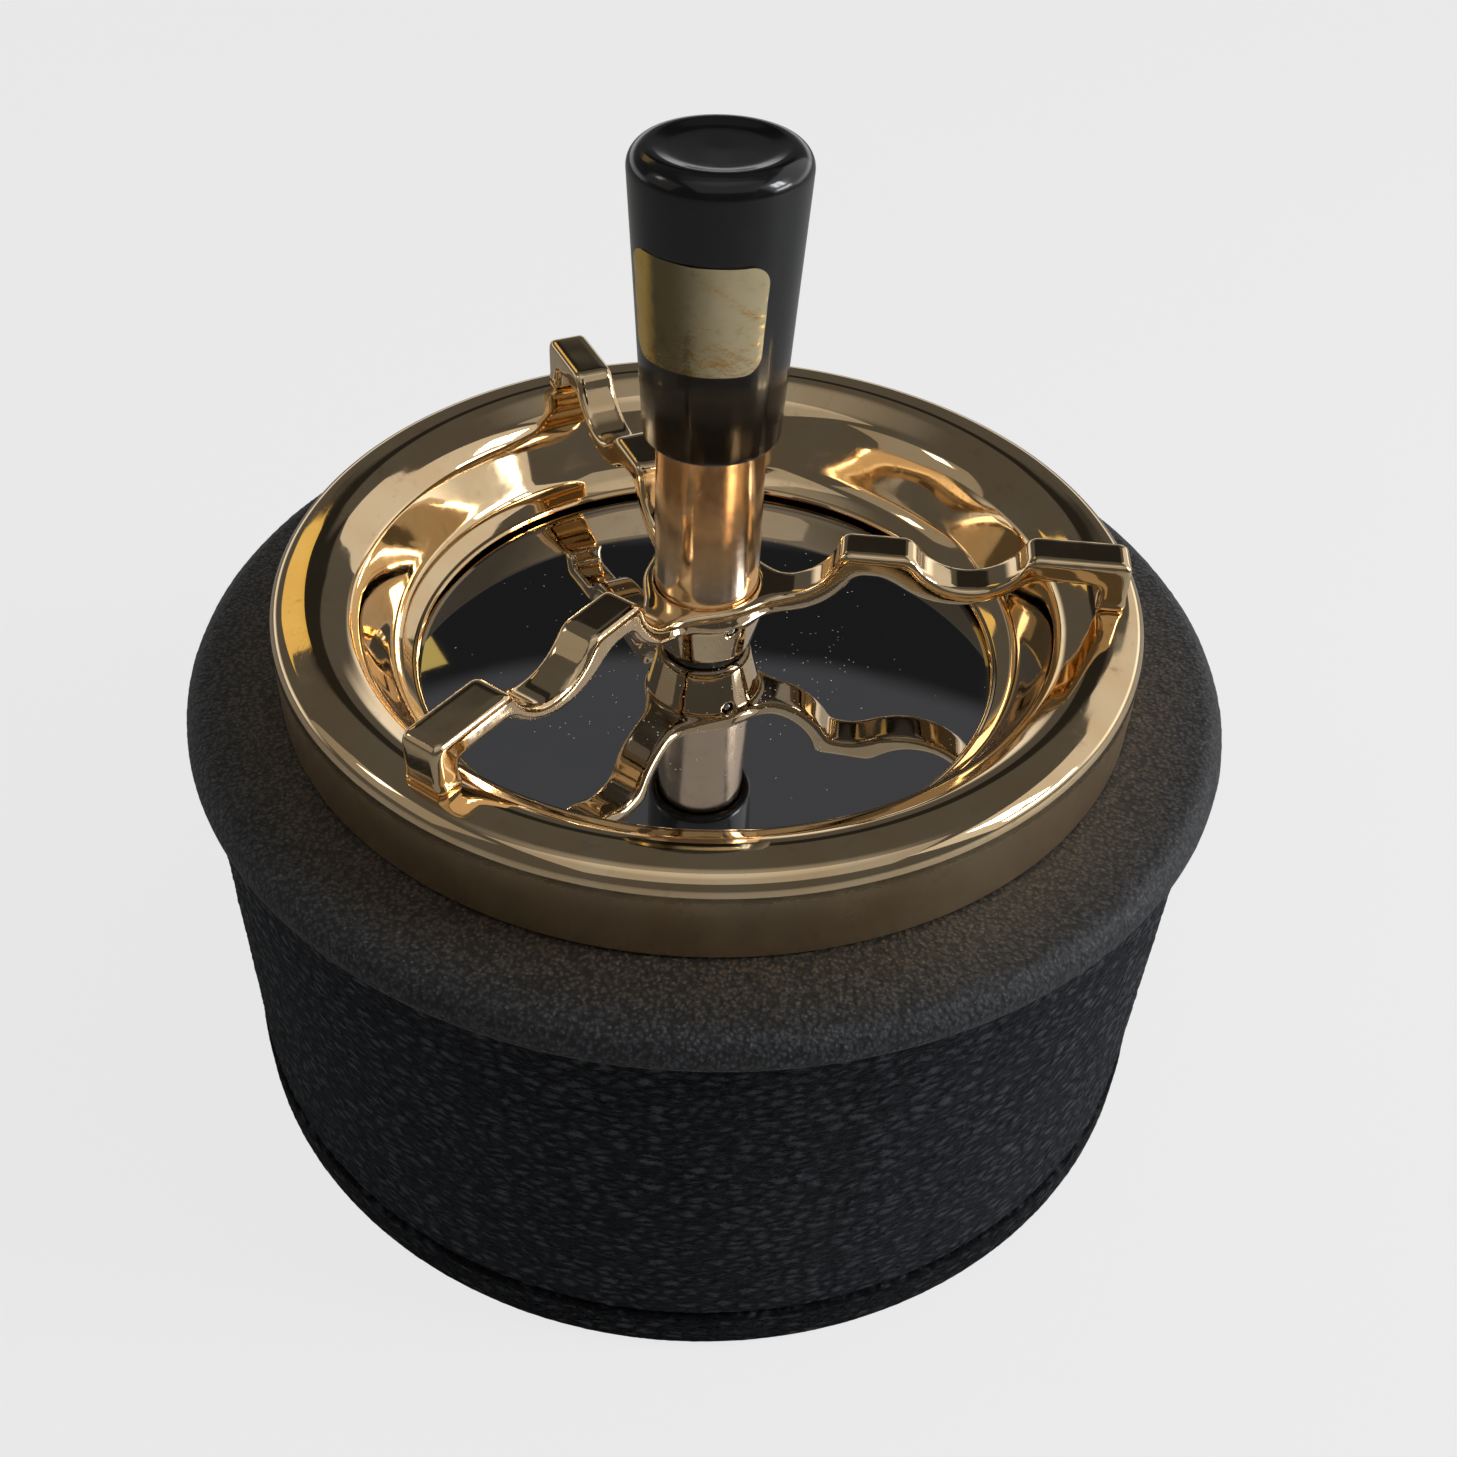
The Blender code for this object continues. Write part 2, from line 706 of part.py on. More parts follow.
def thrust_washer(mats, body):
    low, top = INSERT_POCKET_Z + GAP, HEAD_LOW_Z - 0.4
    section = [(INSERT_BORE_R, low), (THRUST_R, low), (THRUST_R, top), (INSERT_BORE_R, top)]
    return turned("thrust_washer", section, 16, mats["nylon"], body)


def dome_height(radius):
    return DISC_CROWN_Z - radius * radius / (2 * DISC_DOME_R)


def spinner_disc(mats, body):
    """Polished disc, domed and with its edge turned down, so that ash slides off it."""
    hole, steps = DISC_BORE_R + 0.1, 6
    radii = [hole + (DISC_R - hole) * step / steps for step in range(steps + 1)]
    top = [(radius, dome_height(radius)) for radius in radii]
    edge_low = dome_height(DISC_R) - DISC_LIP_DROP
    inside = DISC_R - DISC_SHEET
    under = [(r, dome_height(r) - DISC_SHEET) for r in radii[:-1] + [inside]]
    lip = [(DISC_R, edge_low), (inside, edge_low)]
    return turned("spinner_disc", top + lip + under[::-1], BIG, mats["disc"], body)


def disc_boss(mats, body):
    """Sleeve on the stud above the disc: it runs in the hub's bush when the disc is up."""
    low, top = DISC_CROWN_Z + GAP, SLEEVE_TOP_Z
    section = [(DISC_BORE_R, low), (SLEEVE_R, low), (SLEEVE_R, top), (DISC_BORE_R, top)]
    return turned("disc_boss", section, SMALL, mats["steel"], body)


def disc_washer(mats, body):
    top = DISC_CROWN_Z - DISC_SHEET - GAP - 0.1
    low = top - WASHER_THICK
    section = [(DISC_BORE_R, low), (WASHER_R, low), (WASHER_R, top), (DISC_BORE_R, top)]
    return turned("disc_washer", section, SMALL, mats["steel"], body)


def disc_nut(mats, body):
    """Hexagon nut under the disc."""
    top = DISC_CROWN_Z - DISC_SHEET - WASHER_THICK - 2 * GAP - 0.1
    ends = [circle(HEX_R, height, 6) for height in (top - HEX_THICK, top)]
    nut = lofted("disc_nut", ends, mats["steel"], body)
    low, high = (0.0, 0.0, top - HEX_THICK - 2), (0.0, 0.0, top + 2)
    boolean(nut, rod("disc_nut_cutter", DISC_BORE_R, low, high, 16), "DIFFERENCE")
    return nut


def build():
    clear_scene()
    mats = make_materials()
    pot = body_empty("pot_body")
    lid = body_empty("lid_body", pot)
    plunger = body_empty("plunger_body", lid)
    spinner = body_empty("spinner_body", plunger)

    for make in (pot_shell, base_plate, base_felt, leather_wrap):
        make(mats, pot)
    for make in (gilt_rim, spider, column_tube, drive_nut, nut_pin, hub_bush, return_spring):
        make(mats, lid)
    for number, angle in enumerate(arm_angles(), 1):
        spider_screw(number, angle, mats, lid)
    for make in (knob, knob_label, knob_insert, spring_seat):
        make(mats, plunger)
    for make in (spindle, thrust_washer, spinner_disc, disc_boss, disc_washer, disc_nut):
        make(mats, spinner)


build()
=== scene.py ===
# Looks of the push-down spinning ashtray: fine meshes and procedural materials that stand for
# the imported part's pieces. Lengths are millimetres until a mesh is made; the frame and Blender
# work in metres.
import itertools
import json
import math

import bpy
import numpy as np
from mathutils import Matrix, Vector

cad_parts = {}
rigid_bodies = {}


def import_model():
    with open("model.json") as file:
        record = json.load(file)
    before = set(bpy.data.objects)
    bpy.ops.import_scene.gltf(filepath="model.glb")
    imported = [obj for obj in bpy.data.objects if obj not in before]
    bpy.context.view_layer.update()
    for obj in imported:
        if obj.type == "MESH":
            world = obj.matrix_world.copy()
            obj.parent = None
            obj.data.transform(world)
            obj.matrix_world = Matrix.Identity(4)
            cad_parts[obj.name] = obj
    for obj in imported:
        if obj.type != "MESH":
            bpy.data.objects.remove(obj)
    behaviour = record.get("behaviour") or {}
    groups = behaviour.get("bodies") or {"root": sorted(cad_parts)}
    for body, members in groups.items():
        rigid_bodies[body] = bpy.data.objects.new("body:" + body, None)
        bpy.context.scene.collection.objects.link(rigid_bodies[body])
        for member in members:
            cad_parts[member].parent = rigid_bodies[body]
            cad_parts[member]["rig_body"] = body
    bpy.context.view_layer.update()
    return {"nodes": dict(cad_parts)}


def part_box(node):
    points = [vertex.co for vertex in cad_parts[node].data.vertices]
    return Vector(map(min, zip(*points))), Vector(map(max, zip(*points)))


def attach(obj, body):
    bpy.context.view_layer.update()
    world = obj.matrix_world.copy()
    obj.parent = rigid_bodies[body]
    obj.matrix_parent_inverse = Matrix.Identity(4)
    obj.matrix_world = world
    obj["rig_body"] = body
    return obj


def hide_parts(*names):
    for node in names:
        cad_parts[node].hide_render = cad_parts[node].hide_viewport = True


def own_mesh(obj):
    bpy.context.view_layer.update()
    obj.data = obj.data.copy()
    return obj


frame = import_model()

MM = 0.001


def size(node):
    """(outer radius, lowest, highest) of a round CAD node."""
    low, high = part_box(node)
    return high.x / MM, low.z / MM, high.z / MM


# Sizes that the frame gives.
SHOULDER_R, SHELL_LOW, NECK_TOP = size("pot_shell")
LEATHER_R, LEATHER_LOW, LEATHER_TOP = size("leather_wrap")
BAND_R, BAND_LOW, BAND_TOP = size("base_plate")
FELT_R, FELT_LOW, FELT_TOP = size("base_felt")
DISH_R, _, DISH_TOP = size("gilt_rim")
DISC_R, DISC_LOW, DISC_CROWN = size("spinner_disc")
COLUMN_R, COLUMN_LOW, COLUMN_TOP = size("column_tube")
KNOB_LOW = size("knob")[1]
LABEL_LOW, LABEL_TOP = size("knob_label")[1:]
SPRING_R, SPRING_LOW, SPRING_TOP = size("return_spring")
COLLAR_LOW = size("spider")[1]

# Sizes inside the pieces, which their boxes don't give.
SHEET = 0.8
GAP = 0.3
DRUM_R = 65.2
FLOOR_R = 62.6
FLOOR_LOW = 1.4
FLOOR_TOP = 2.5
FOOT_BEND_R = 63.2
FOOT_BEND_Z = 0.5
SHOULDER_Z = 64.1
SHOULDER_LOW = 60.1
NECK_R = 54.5
SKIRT_LOW = 64.5
RIM_OUTER_Z = 76.0
BROW_R = 50.0
LIP_R = 45.5
LIP_Z = 73.9
BOWL_BEND = 5.0
BOWL_R = 41.2
BOWL_Z = 64.8
THROAT_R = 38.2
THROAT_Z = 63.2
DOME_R = 440.0
ARM_START = math.radians(-5.0)
ARM_COUNT = 3
PIN_ANGLE = math.radians(-62.0)
PIN_Z = 70.5
TUBE_WALL = 0.7
KNOB_LOW_R = 8.4
KNOB_HIGH = 131.5
KNOB_HIGH_R = 10.4
KNOB_BORE_R = 7.1
KNOB_ROOF_Z = 127.0
LABEL_MIDDLE = math.radians(-107.0)
LABEL_SPAN = math.radians(104.0)
DISC_HOLE_R = 2.2
DISC_SHEET = 0.9
SPINDLE_LEAD = 20.0
STUD_LOW = 56.9
STUD_TOP = 62.6
STUD_R = 1.74
STUD_PITCH = 0.7
PLAIN_LOW = 62.7
PLAIN_TOP = 67.3
PLAIN_R = 1.8
TWIST_START = 67.5
STRIP_LOW = 67.6
STRIP_TOP = 91.0
STRIP_HALF_WIDTH = 2.3
STRIP_HALF_THICKNESS = 0.6
SHANK_R = 1.9
HEAD_LOW = 124.0
HEAD_TOP = 125.6
HEAD_R = 2.9
SEAM_ANGLE = math.pi / 2


# --- Shapes -----------------------------------------------------------------------------------


def bent(corners, step=math.radians(9)):
    """Points along a path of (x, y, bend radius) corners, each bend as an arc."""
    points = [Vector(corners[0][:2])]
    for before, here, after in zip(corners, corners[1:], corners[2:]):
        corner = Vector(here[:2])
        back = (Vector(before[:2]) - corner).normalized()
        ahead = (Vector(after[:2]) - corner).normalized()
        radius = here[2] if len(here) > 2 else 0.0
        turn = math.pi - back.angle(ahead)
        if radius <= 0.0 or turn < 0.02:
            points.append(corner)
            continue
        start = corner + back * radius * math.tan(turn / 2)
        centre = corner + (back + ahead).normalized() * (radius / math.cos(turn / 2))
        side = 1.0 if back.x * ahead.y - back.y * ahead.x < 0 else -1.0
        steps = max(2, math.ceil(turn / step))
        for number in range(steps + 1):
            turned = Matrix.Rotation(side * turn * number / steps, 2) @ (start - centre)
            points.append(centre + turned)
    points.append(Vector(corners[-1][:2]))
    return points


def moved_left(corners, distance):
    """The corners of a path that runs the sheet's thickness to the left of this one."""
    ends = [Vector(corner[:2]) for corner in corners]
    sides = []
    for start, end in zip(ends, ends[1:]):
        along = (end - start).normalized()
        sides.append(Vector((-along.y, along.x)))
    result = [(*(ends[0] + sides[0] * distance), 0.0)]
    for here, corner, before, after in zip(ends[1:-1], corners[1:-1], sides, sides[1:]):
        shift = (before + after) * (distance / (1.0 + before.dot(after)))
        turns_left = before.x * after.y - before.y * after.x > 0
        radius = corner[2] if len(corner) > 2 else 0.0
        radius += -distance if turns_left else distance
        result.append((*(here + shift), max(radius, 0.0)))
    result.append((*(ends[-1] + sides[-1] * distance), 0.0))
    return result


def dense(points, longest):
    """The path with extra points, so that no step in it is longer than this."""
    result = [points[0]]
    for start, end in zip(points, points[1:]):
        steps = max(1, math.ceil((end - start).length / longest))
        result += [start.lerp(end, step / steps) for step in range(1, steps + 1)]
    return result


def new_piece(name, points, faces, look):
    """A smooth-shaded object from points in millimetres."""
    mesh = bpy.data.meshes.new(name)
    mesh.from_pydata(np.asarray(points, float) * MM, [], faces)
    mesh.shade_smooth()
    mesh.materials.append(look)
    obj = bpy.data.objects.new(name, mesh)
    bpy.context.scene.collection.objects.link(obj)
    return obj


def sharpen(obj, degrees):
    """Creases the shading where faces meet more sharply than this."""
    obj.data.set_sharp_from_angle(angle=math.radians(degrees))
    return obj


def lathe(name, section, around, look, skin=None, sharp=40):
    """A solid of revolution about Z from a closed (radius, height) section.

    skin(points, normals) returns how far each point moves along its normal, for relief.
    """
    ring = np.array([tuple(point) for point in section])
    after = np.roll(ring, -1, axis=0)
    if np.sum(ring[:, 0] * after[:, 1] - after[:, 0] * ring[:, 1]) < 0:
        ring = ring[::-1]
    along = np.roll(ring, -1, axis=0) - np.roll(ring, 1, axis=0)
    outward = np.stack([along[:, 1], -along[:, 0]], 1)
    outward /= np.maximum(np.linalg.norm(outward, axis=1, keepdims=True), 1e-9)
    angles = np.arange(around) * (2 * math.pi / around)
    turn = np.stack([np.cos(angles), np.sin(angles)], 1)

    def spun(pairs):
        flat = pairs[:, None, :1] * turn[None]
        height = np.broadcast_to(pairs[:, None, 1:], (len(pairs), around, 1))
        return np.concatenate([flat, height], 2)

    points = spun(ring)
    if skin:
        points = points + spun(outward) * skin(points, spun(outward))[..., None]
    pole = ring[:, 0] < 1e-6
    index = np.arange(len(ring) * around).reshape(len(ring), around)
    index[pole] = index[pole][:, :1]
    beside, above = np.roll(index, -1, axis=1), np.roll(index, -1, axis=0)
    corners = np.stack([index, beside, np.roll(beside, -1, axis=0), above], -1)
    corners = corners[~(pole & np.roll(pole, -1))].reshape(-1, 4)
    faces = [tuple(dict.fromkeys(face)) for face in corners.tolist()]
    used, places = np.unique(index, return_inverse=True)
    places = places.reshape(-1)
    flat = points.reshape(-1, 3)
    faces = [tuple(int(places[c]) for c in face) for face in faces]
    return sharpen(new_piece(name, flat[used], faces, look), sharp)


def swept(name, loops, look, sharp=40):
    """A closed solid through a stack of loops (stack, loop, 3) with equal numbers of points."""
    loops = np.asarray(loops, float)
    stack, count = loops.shape[:2]
    index = np.arange(stack * count).reshape(stack, count)
    beside = np.roll(index, -1, axis=1)
    corners = np.stack([index[:-1], beside[:-1], beside[1:], index[1:]], -1)
    ends = [index[0][::-1].tolist(), index[-1].tolist()]
    faces = corners.reshape(-1, 4).tolist() + ends
    return sharpen(new_piece(name, loops.reshape(-1, 3), faces, look), sharp)


# Keeps the lattice numbers of the random fields above zero.
LATTICE_SHIFT = 500.0


def from_axis(points):
    """Distance from the Z axis."""
    return np.linalg.norm(points[..., :2], axis=-1)


def scattered(lattice, seed):
    """A fixed random number from -1 to 1 for each whole-numbered lattice point."""
    mixed = lattice @ np.array([73856093, 19349663, 83492791]) + seed * 7368787
    mixed = (mixed ^ (mixed >> 13)) * 1274126177
    mixed = mixed ^ (mixed >> 16)
    return (mixed & 65535) / 32767.5 - 1.0


def clouds(points, width, seed=0):
    """A smooth random field from about -1 to 1, whose blobs are `width` millimetres across."""
    place = points / width + LATTICE_SHIFT
    cell = np.floor(place).astype(np.int64)
    blend = place - cell
    blend = blend * blend * (3 - 2 * blend)
    total = np.zeros(points.shape[:-1])
    for corner in itertools.product((0, 1), repeat=3):
        share = np.prod(np.where(corner, blend, 1 - blend), axis=-1)
        total += share * scattered(cell + np.array(corner), seed)
    return total


def creases(points, width, seed=0):
    """0 on the borders of random cells `width` millimetres across, rising to about 1 inside."""
    place = points / width + LATTICE_SHIFT
    cell = np.floor(place).astype(np.int64)
    near = np.full(points.shape[:-1], np.inf)
    second = near.copy()
    for corner in itertools.product((-1, 0, 1), repeat=3):
        home = cell + np.array(corner)
        spot = [0.5 + 0.42 * scattered(home, seed + axis) for axis in range(3)]
        far = np.linalg.norm(home + np.stack(spot, -1) - place, axis=-1)
        second = np.minimum(second, np.maximum(near, far))
        near = np.minimum(near, far)
    return np.clip((second - near) * 2.2, 0.0, 1.0)


# --- Materials --------------------------------------------------------------------------------


class Nodes:
    """Short calls that add and wire the nodes of one tree."""

    def __init__(self, tree):
        self.tree = tree

    def wire(self, node, inputs):
        """Links the sockets among the values to a node's inputs, and sets the rest."""
        for key, value in inputs.items():
            socket = node.inputs[key]
            if isinstance(value, bpy.types.NodeSocket):
                self.tree.links.new(value, socket)
            elif isinstance(value, tuple) and len(value) == 3 and socket.type == "RGBA":
                socket.default_value = (*value, 1.0)
            else:
                socket.default_value = value

    def add(self, kind, inputs, output=0, **settings):
        node = self.tree.nodes.new(kind)
        for key, value in settings.items():
            setattr(node, key, value)
        self.wire(node, inputs)
        return node.outputs[output]

    def vector(self, operation, first, second):
        return self.add("ShaderNodeVectorMath", {0: first, 1: second}, operation=operation)

    def math(self, operation, first, second=0.0, third=0.0):
        inputs = {0: first, 1: second, 2: third}
        return self.add("ShaderNodeMath", inputs, operation=operation)

    def steps(self, fac, low, high, start=0.0, end=1.0):
        """A smooth rise from start to end as fac goes from low to high."""
        inputs = {0: fac, 1: low, 2: high, 3: start, 4: end}
        return self.add("ShaderNodeMapRange", inputs, interpolation_type="SMOOTHSTEP")


class Look(Nodes):
    """A Principled material whose patterns are measured in millimetres."""

    def __init__(self, name, **values):
        self.material = bpy.data.materials.new(name)
        self.material.use_nodes = True
        super().__init__(self.material.node_tree)
        self.surface = self.tree.nodes["Principled BSDF"]
        place = self.add("ShaderNodeTexCoord", {}, "Object")
        self.millimetres = self.vector("MULTIPLY", place, (1 / MM,) * 3)
        self.normal = None
        self.set(values)

    def set(self, values):
        """Wires or sets inputs of the Principled shader by their names."""
        self.wire(self.surface, values)

    def noise(self, width, detail=2.0, stretch=(1.0, 1.0, 1.0), roughness=0.5):
        """Soft noise from 0 to 1, with blobs `width` millimetres across."""
        place = self.vector("DIVIDE", self.millimetres, tuple(width * s for s in stretch))
        inputs = {"Vector": place, "Scale": 1.0, "Detail": detail, "Roughness": roughness}
        return self.add("ShaderNodeTexNoise", inputs)

    def cells(self, width, feature="F1", stretch=(1.0, 1.0, 1.0), output=0):
        """Distance within, or colour of, random cells `width` millimetres across."""
        place = self.vector("DIVIDE", self.millimetres, tuple(width * s for s in stretch))
        inputs = {"Vector": place, "Scale": 1.0}
        return self.add("ShaderNodeTexVoronoi", inputs, output, feature=feature)

    def blend(self, fac, first, second):
        """A colour between the two."""
        first, second = ((*c, 1.0) if isinstance(c, tuple) else c for c in (first, second))
        inputs = {0: fac, 6: first, 7: second}
        return self.add("ShaderNodeMix", inputs, 2, data_type="RGBA")

    def bump(self, height, depth):
        """Adds relief whose full height is `depth` millimetres."""
        inputs = {"Height": height, "Distance": depth * MM, "Strength": 1.0}
        if self.normal:
            inputs["Normal"] = self.normal
        self.normal = self.add("ShaderNodeBump", inputs)
        self.set({"Normal": self.normal})

    def radius(self):
        """Distance from the Z axis in millimetres."""
        flat = self.vector("MULTIPLY", self.millimetres, (1.0, 1.0, 0.0))
        return self.add("ShaderNodeVectorMath", {0: flat}, "Value", operation="LENGTH")

    def height(self):
        """Height above the floor in millimetres."""
        return self.add("ShaderNodeSeparateXYZ", {0: self.millimetres}, 2)


def metal(name, bright, deep, polish, haze, waves=0.006, turned_marks=0.0, satin=None):
    """Metal with a drifting tone, smudges in its polish and hairline scratches.

    Past the radius `satin` and below the rim it is rubbed to a satin finish.
    """
    look = Look(name, Metallic=1.0)
    drift = look.noise(9.0, 4.0)
    stain = look.steps(look.noise(2.6, 5.0, roughness=0.65), 0.56, 0.78)
    tone = look.blend(look.steps(drift, 0.3, 0.7), bright, deep)
    stained = tuple(0.62 * channel for channel in deep)
    look.set({"Base Color": look.blend(look.math("MULTIPLY", stain, 0.45), tone, stained)})
    smudge = look.steps(look.noise(5.0, 6.0, roughness=0.7), 0.42, 0.75)
    dull = look.math("ADD", look.math("MULTIPLY", smudge, haze), polish)
    if satin:
        outside = look.steps(look.radius(), satin - 1.2, satin - 0.5)
        low = look.steps(look.height(), RIM_OUTER_Z - 3.6, RIM_OUTER_Z - 1.6, 0.26, 0.0)
        dull = look.math("MULTIPLY_ADD", outside, low, dull)
    look.set({"Roughness": look.math("MULTIPLY_ADD", stain, haze, dull)})
    if turned_marks:
        rings = look.math("SINE", look.math("MULTIPLY", look.radius(), 21.0))
        lines = look.math("SINE", look.math("MULTIPLY", look.height(), 21.0))
        look.bump(look.math("ADD", rings, lines), turned_marks)
    look.bump(look.noise(11.0, 1.0), waves * 6)
    scratch = look.noise(0.35, 2.0, stretch=(1.0, 9.0, 5.0))
    look.bump(look.steps(scratch, 0.66, 0.74), waves / 12)
    return look.material


def crinkle_look():
    """Fine-grained black coat, browner towards the dish, with painted light on its raised grains,
    painted shade between them and painted glints on a few.
    """
    look = Look("crinkle_coat", **{"Sheen Weight": 0.12, "Sheen Roughness": 0.5})
    grain = look.cells(0.5, "SMOOTH_F1")
    fine = look.noise(0.24, 3.0, roughness=0.7)
    painted_shade_mask = look.math("MULTIPLY_ADD", fine, 0.6, look.math("MULTIPLY", grain, 0.9))
    outward = look.steps(look.radius(), NECK_R + 4.0, SHOULDER_R - 1.5)
    painted_light_colour = look.blend(outward, (0.105, 0.074, 0.044), (0.060, 0.064, 0.075))
    dark = look.blend(outward, (0.010, 0.007, 0.004), (0.004, 0.004, 0.005))
    # Painted light and shade: the lighter colour goes on the raised grain tops and the near-black
    # one in the hollows between them.
    coat = look.blend(look.steps(painted_shade_mask, 0.30, 0.85), painted_light_colour, dark)
    # Painted glints: a few random grains get a pale grey colour that stands in for their sparkle.
    pick = look.cells(0.3, output=1)
    glint = look.steps(look.add("ShaderNodeSeparateColor", {0: pick}), 0.94, 0.99)
    coat = look.blend(look.math("MULTIPLY", glint, 0.5), coat, (0.15, 0.145, 0.14))
    look.set({"Base Color": coat, "Roughness": look.steps(fine, 0.3, 0.7, 0.42, 0.66)})
    look.bump(look.math("MULTIPLY", grain, -1.0), 0.16)
    look.bump(fine, 0.10)
    return look.material


def leather_look():
    """Black glazed leather with fine creases and a dull sheen, with painted light on its raised
    grain and painted shade in its creases.
    """
    look = Look("black_leather", **{"Sheen Weight": 0.10, "Sheen Roughness": 0.4})
    look.set({"Sheen Tint": (0.75, 0.85, 1.0)})
    long = (1.5, 1.5, 0.75)
    warp = look.vector("MULTIPLY", look.add("ShaderNodeTexNoise", {"Scale": 260.0}, 1), (0.8,) * 3)
    look.millimetres = look.vector("ADD", look.millimetres, warp)
    crease = look.cells(1.7, "DISTANCE_TO_EDGE", long)
    small = look.cells(0.5, "DISTANCE_TO_EDGE", long)
    pores = look.noise(0.22, 3.0)
    raised = look.steps(crease, 0.0, 0.42)
    lumps = look.noise(1.4, 2.0, stretch=long, roughness=0.5)
    lit_raised_grain = look.math("MULTIPLY", raised, look.steps(lumps, 0.25, 0.75, 0.35, 1.0))
    look.set({"Specular IOR Level": look.steps(lit_raised_grain, 0.0, 0.9, 0.10, 0.55)})
    # Painted light and shade: the raised grain gets a lighter bluish colour standing in for light
    # on the bumps, and the creases stay near black.
    look.set({"Base Color": look.blend(lit_raised_grain, (0.003, 0.003, 0.004), (0.028, 0.033, 0.043))})
    look.set({"Roughness": look.steps(look.math("ADD", lit_raised_grain, pores), 0.3, 1.3, 0.66, 0.30)})
    look.bump(raised, 0.30)
    look.bump(lumps, 0.60)
    look.bump(look.steps(small, 0.02, 0.3), 0.04)
    look.bump(pores, 0.015)
    return look.material


def felt_look():
    """Matted black wool with lighter fibres."""
    look = Look("black_felt", Roughness=0.95, **{"Sheen Weight": 0.5})
    fibre = look.noise(0.5, 5.0, stretch=(4.0, 0.6, 1.0), roughness=0.7)
    across = look.noise(0.5, 5.0, stretch=(0.6, 4.0, 1.0), roughness=0.7)
    mat = look.math("MAXIMUM", fibre, across)
    look.set({"Base Color": look.blend(look.steps(mat, 0.45, 0.8), (0.01,) * 3, (0.075,) * 3)})
    look.bump(mat, 0.25)
    return look.material


def mirror_look():
    """Polished disc with a dark mirror finish and a scatter of pale dust."""
    look = Look("mirror_disc")
    pick = look.add("ShaderNodeSeparateColor", {0: look.cells(0.62, output=1)})
    speck = look.steps(look.cells(0.62), 0.13, 0.22, 1.0, 0.0)
    near_hub = look.steps(look.radius(), 9.0, 36.0, 0.30, 0.03)
    patch = look.steps(look.noise(11.0, 3.0), 0.38, 0.62)
    chance = look.math("MULTIPLY", near_hub, patch)
    dust = look.math("MULTIPLY", speck, look.math("LESS_THAN", pick, chance))
    film = look.math("MULTIPLY", look.noise(4.0, 6.0, roughness=0.7), 0.035)
    clean = look.blend(look.noise(14.0, 2.0), (0.52, 0.53, 0.56), (0.58, 0.58, 0.60))
    look.set({"Base Color": look.blend(dust, clean, (0.55, 0.55, 0.52))})
    look.set({"Metallic": look.math("SUBTRACT", 1.0, dust)})
    look.set({"Roughness": look.math("MULTIPLY_ADD", dust, 0.85, look.math("ADD", film, 0.008))})
    look.bump(dust, 0.06)
    look.bump(look.noise(13.0, 1.0), 0.02)
    return look.material


def knob_look():
    """Black moulded plastic, glossy and faintly scuffed."""
    look = Look("black_gloss_plastic", **{"IOR": 1.5, "Coat Weight": 0.35, "Coat Roughness": 0.05})
    scuff = look.steps(look.noise(3.0, 7.0, roughness=0.75), 0.45, 0.8)
    fine = look.noise(0.3, 2.0, stretch=(1.0, 1.0, 8.0))
    look.set({"Base Color": look.blend(scuff, (0.004, 0.004, 0.005), (0.012, 0.012, 0.014))})
    look.set({"Roughness": look.math("MULTIPLY_ADD", scuff, 0.10, 0.16)})
    look.bump(look.noise(7.0, 2.0), 0.03)
    look.bump(look.steps(fine, 0.62, 0.7), 0.0008)
    return look.material


def foil_look():
    """Thin gold foil on paper: brushed, creased and slightly rubbed, with a painted reflection
    across it.
    """
    look = Look("gold_foil", Metallic=1.0)
    rub = look.steps(look.noise(1.6, 4.0, roughness=0.6), 0.52, 0.85)
    along = (-math.sin(LABEL_MIDDLE), math.cos(LABEL_MIDDLE), 0.0)
    inputs = {0: look.millimetres, 1: along}
    across = look.add("ShaderNodeVectorMath", inputs, "Value", operation="DOT_PRODUCT")
    across = look.math("MULTIPLY_ADD", look.noise(3.0, 3.0), 1.6, across)
    # Painted reflection: the colour runs from gold at one end through dark olive to pale gold at
    # the other, standing in for what the foil reflects.
    tone = look.blend(look.steps(across, -5.2, -3.4), (0.95, 0.62, 0.16), (0.22, 0.175, 0.09))
    tone = look.blend(look.steps(across, -1.5, 6.0), tone, (1.0, 0.84, 0.52))
    worn = look.vector("MULTIPLY", tone, (0.74, 0.70, 0.62))
    look.set({"Base Color": look.blend(rub, tone, worn)})
    look.set({"Roughness": look.math("MULTIPLY_ADD", rub, 0.08, 0.16)})
    look.bump(look.noise(1.9, 2.0), 0.10)
    look.bump(look.noise(0.25, 2.0), 0.01)
    return look.material


def nylon_look():
    """Natural nylon with faint mould texture."""
    look = Look("natural_nylon", Roughness=0.4, **{"Subsurface Weight": 0.2})
    tone = look.noise(1.5, 4.0)
    look.set({"Subsurface Radius": (0.001, 0.001, 0.0008)})
    look.set({"Base Color": look.blend(tone, (0.72, 0.69, 0.60), (0.82, 0.80, 0.73))})
    look.bump(look.noise(0.4, 3.0), 0.01)
    return look.material


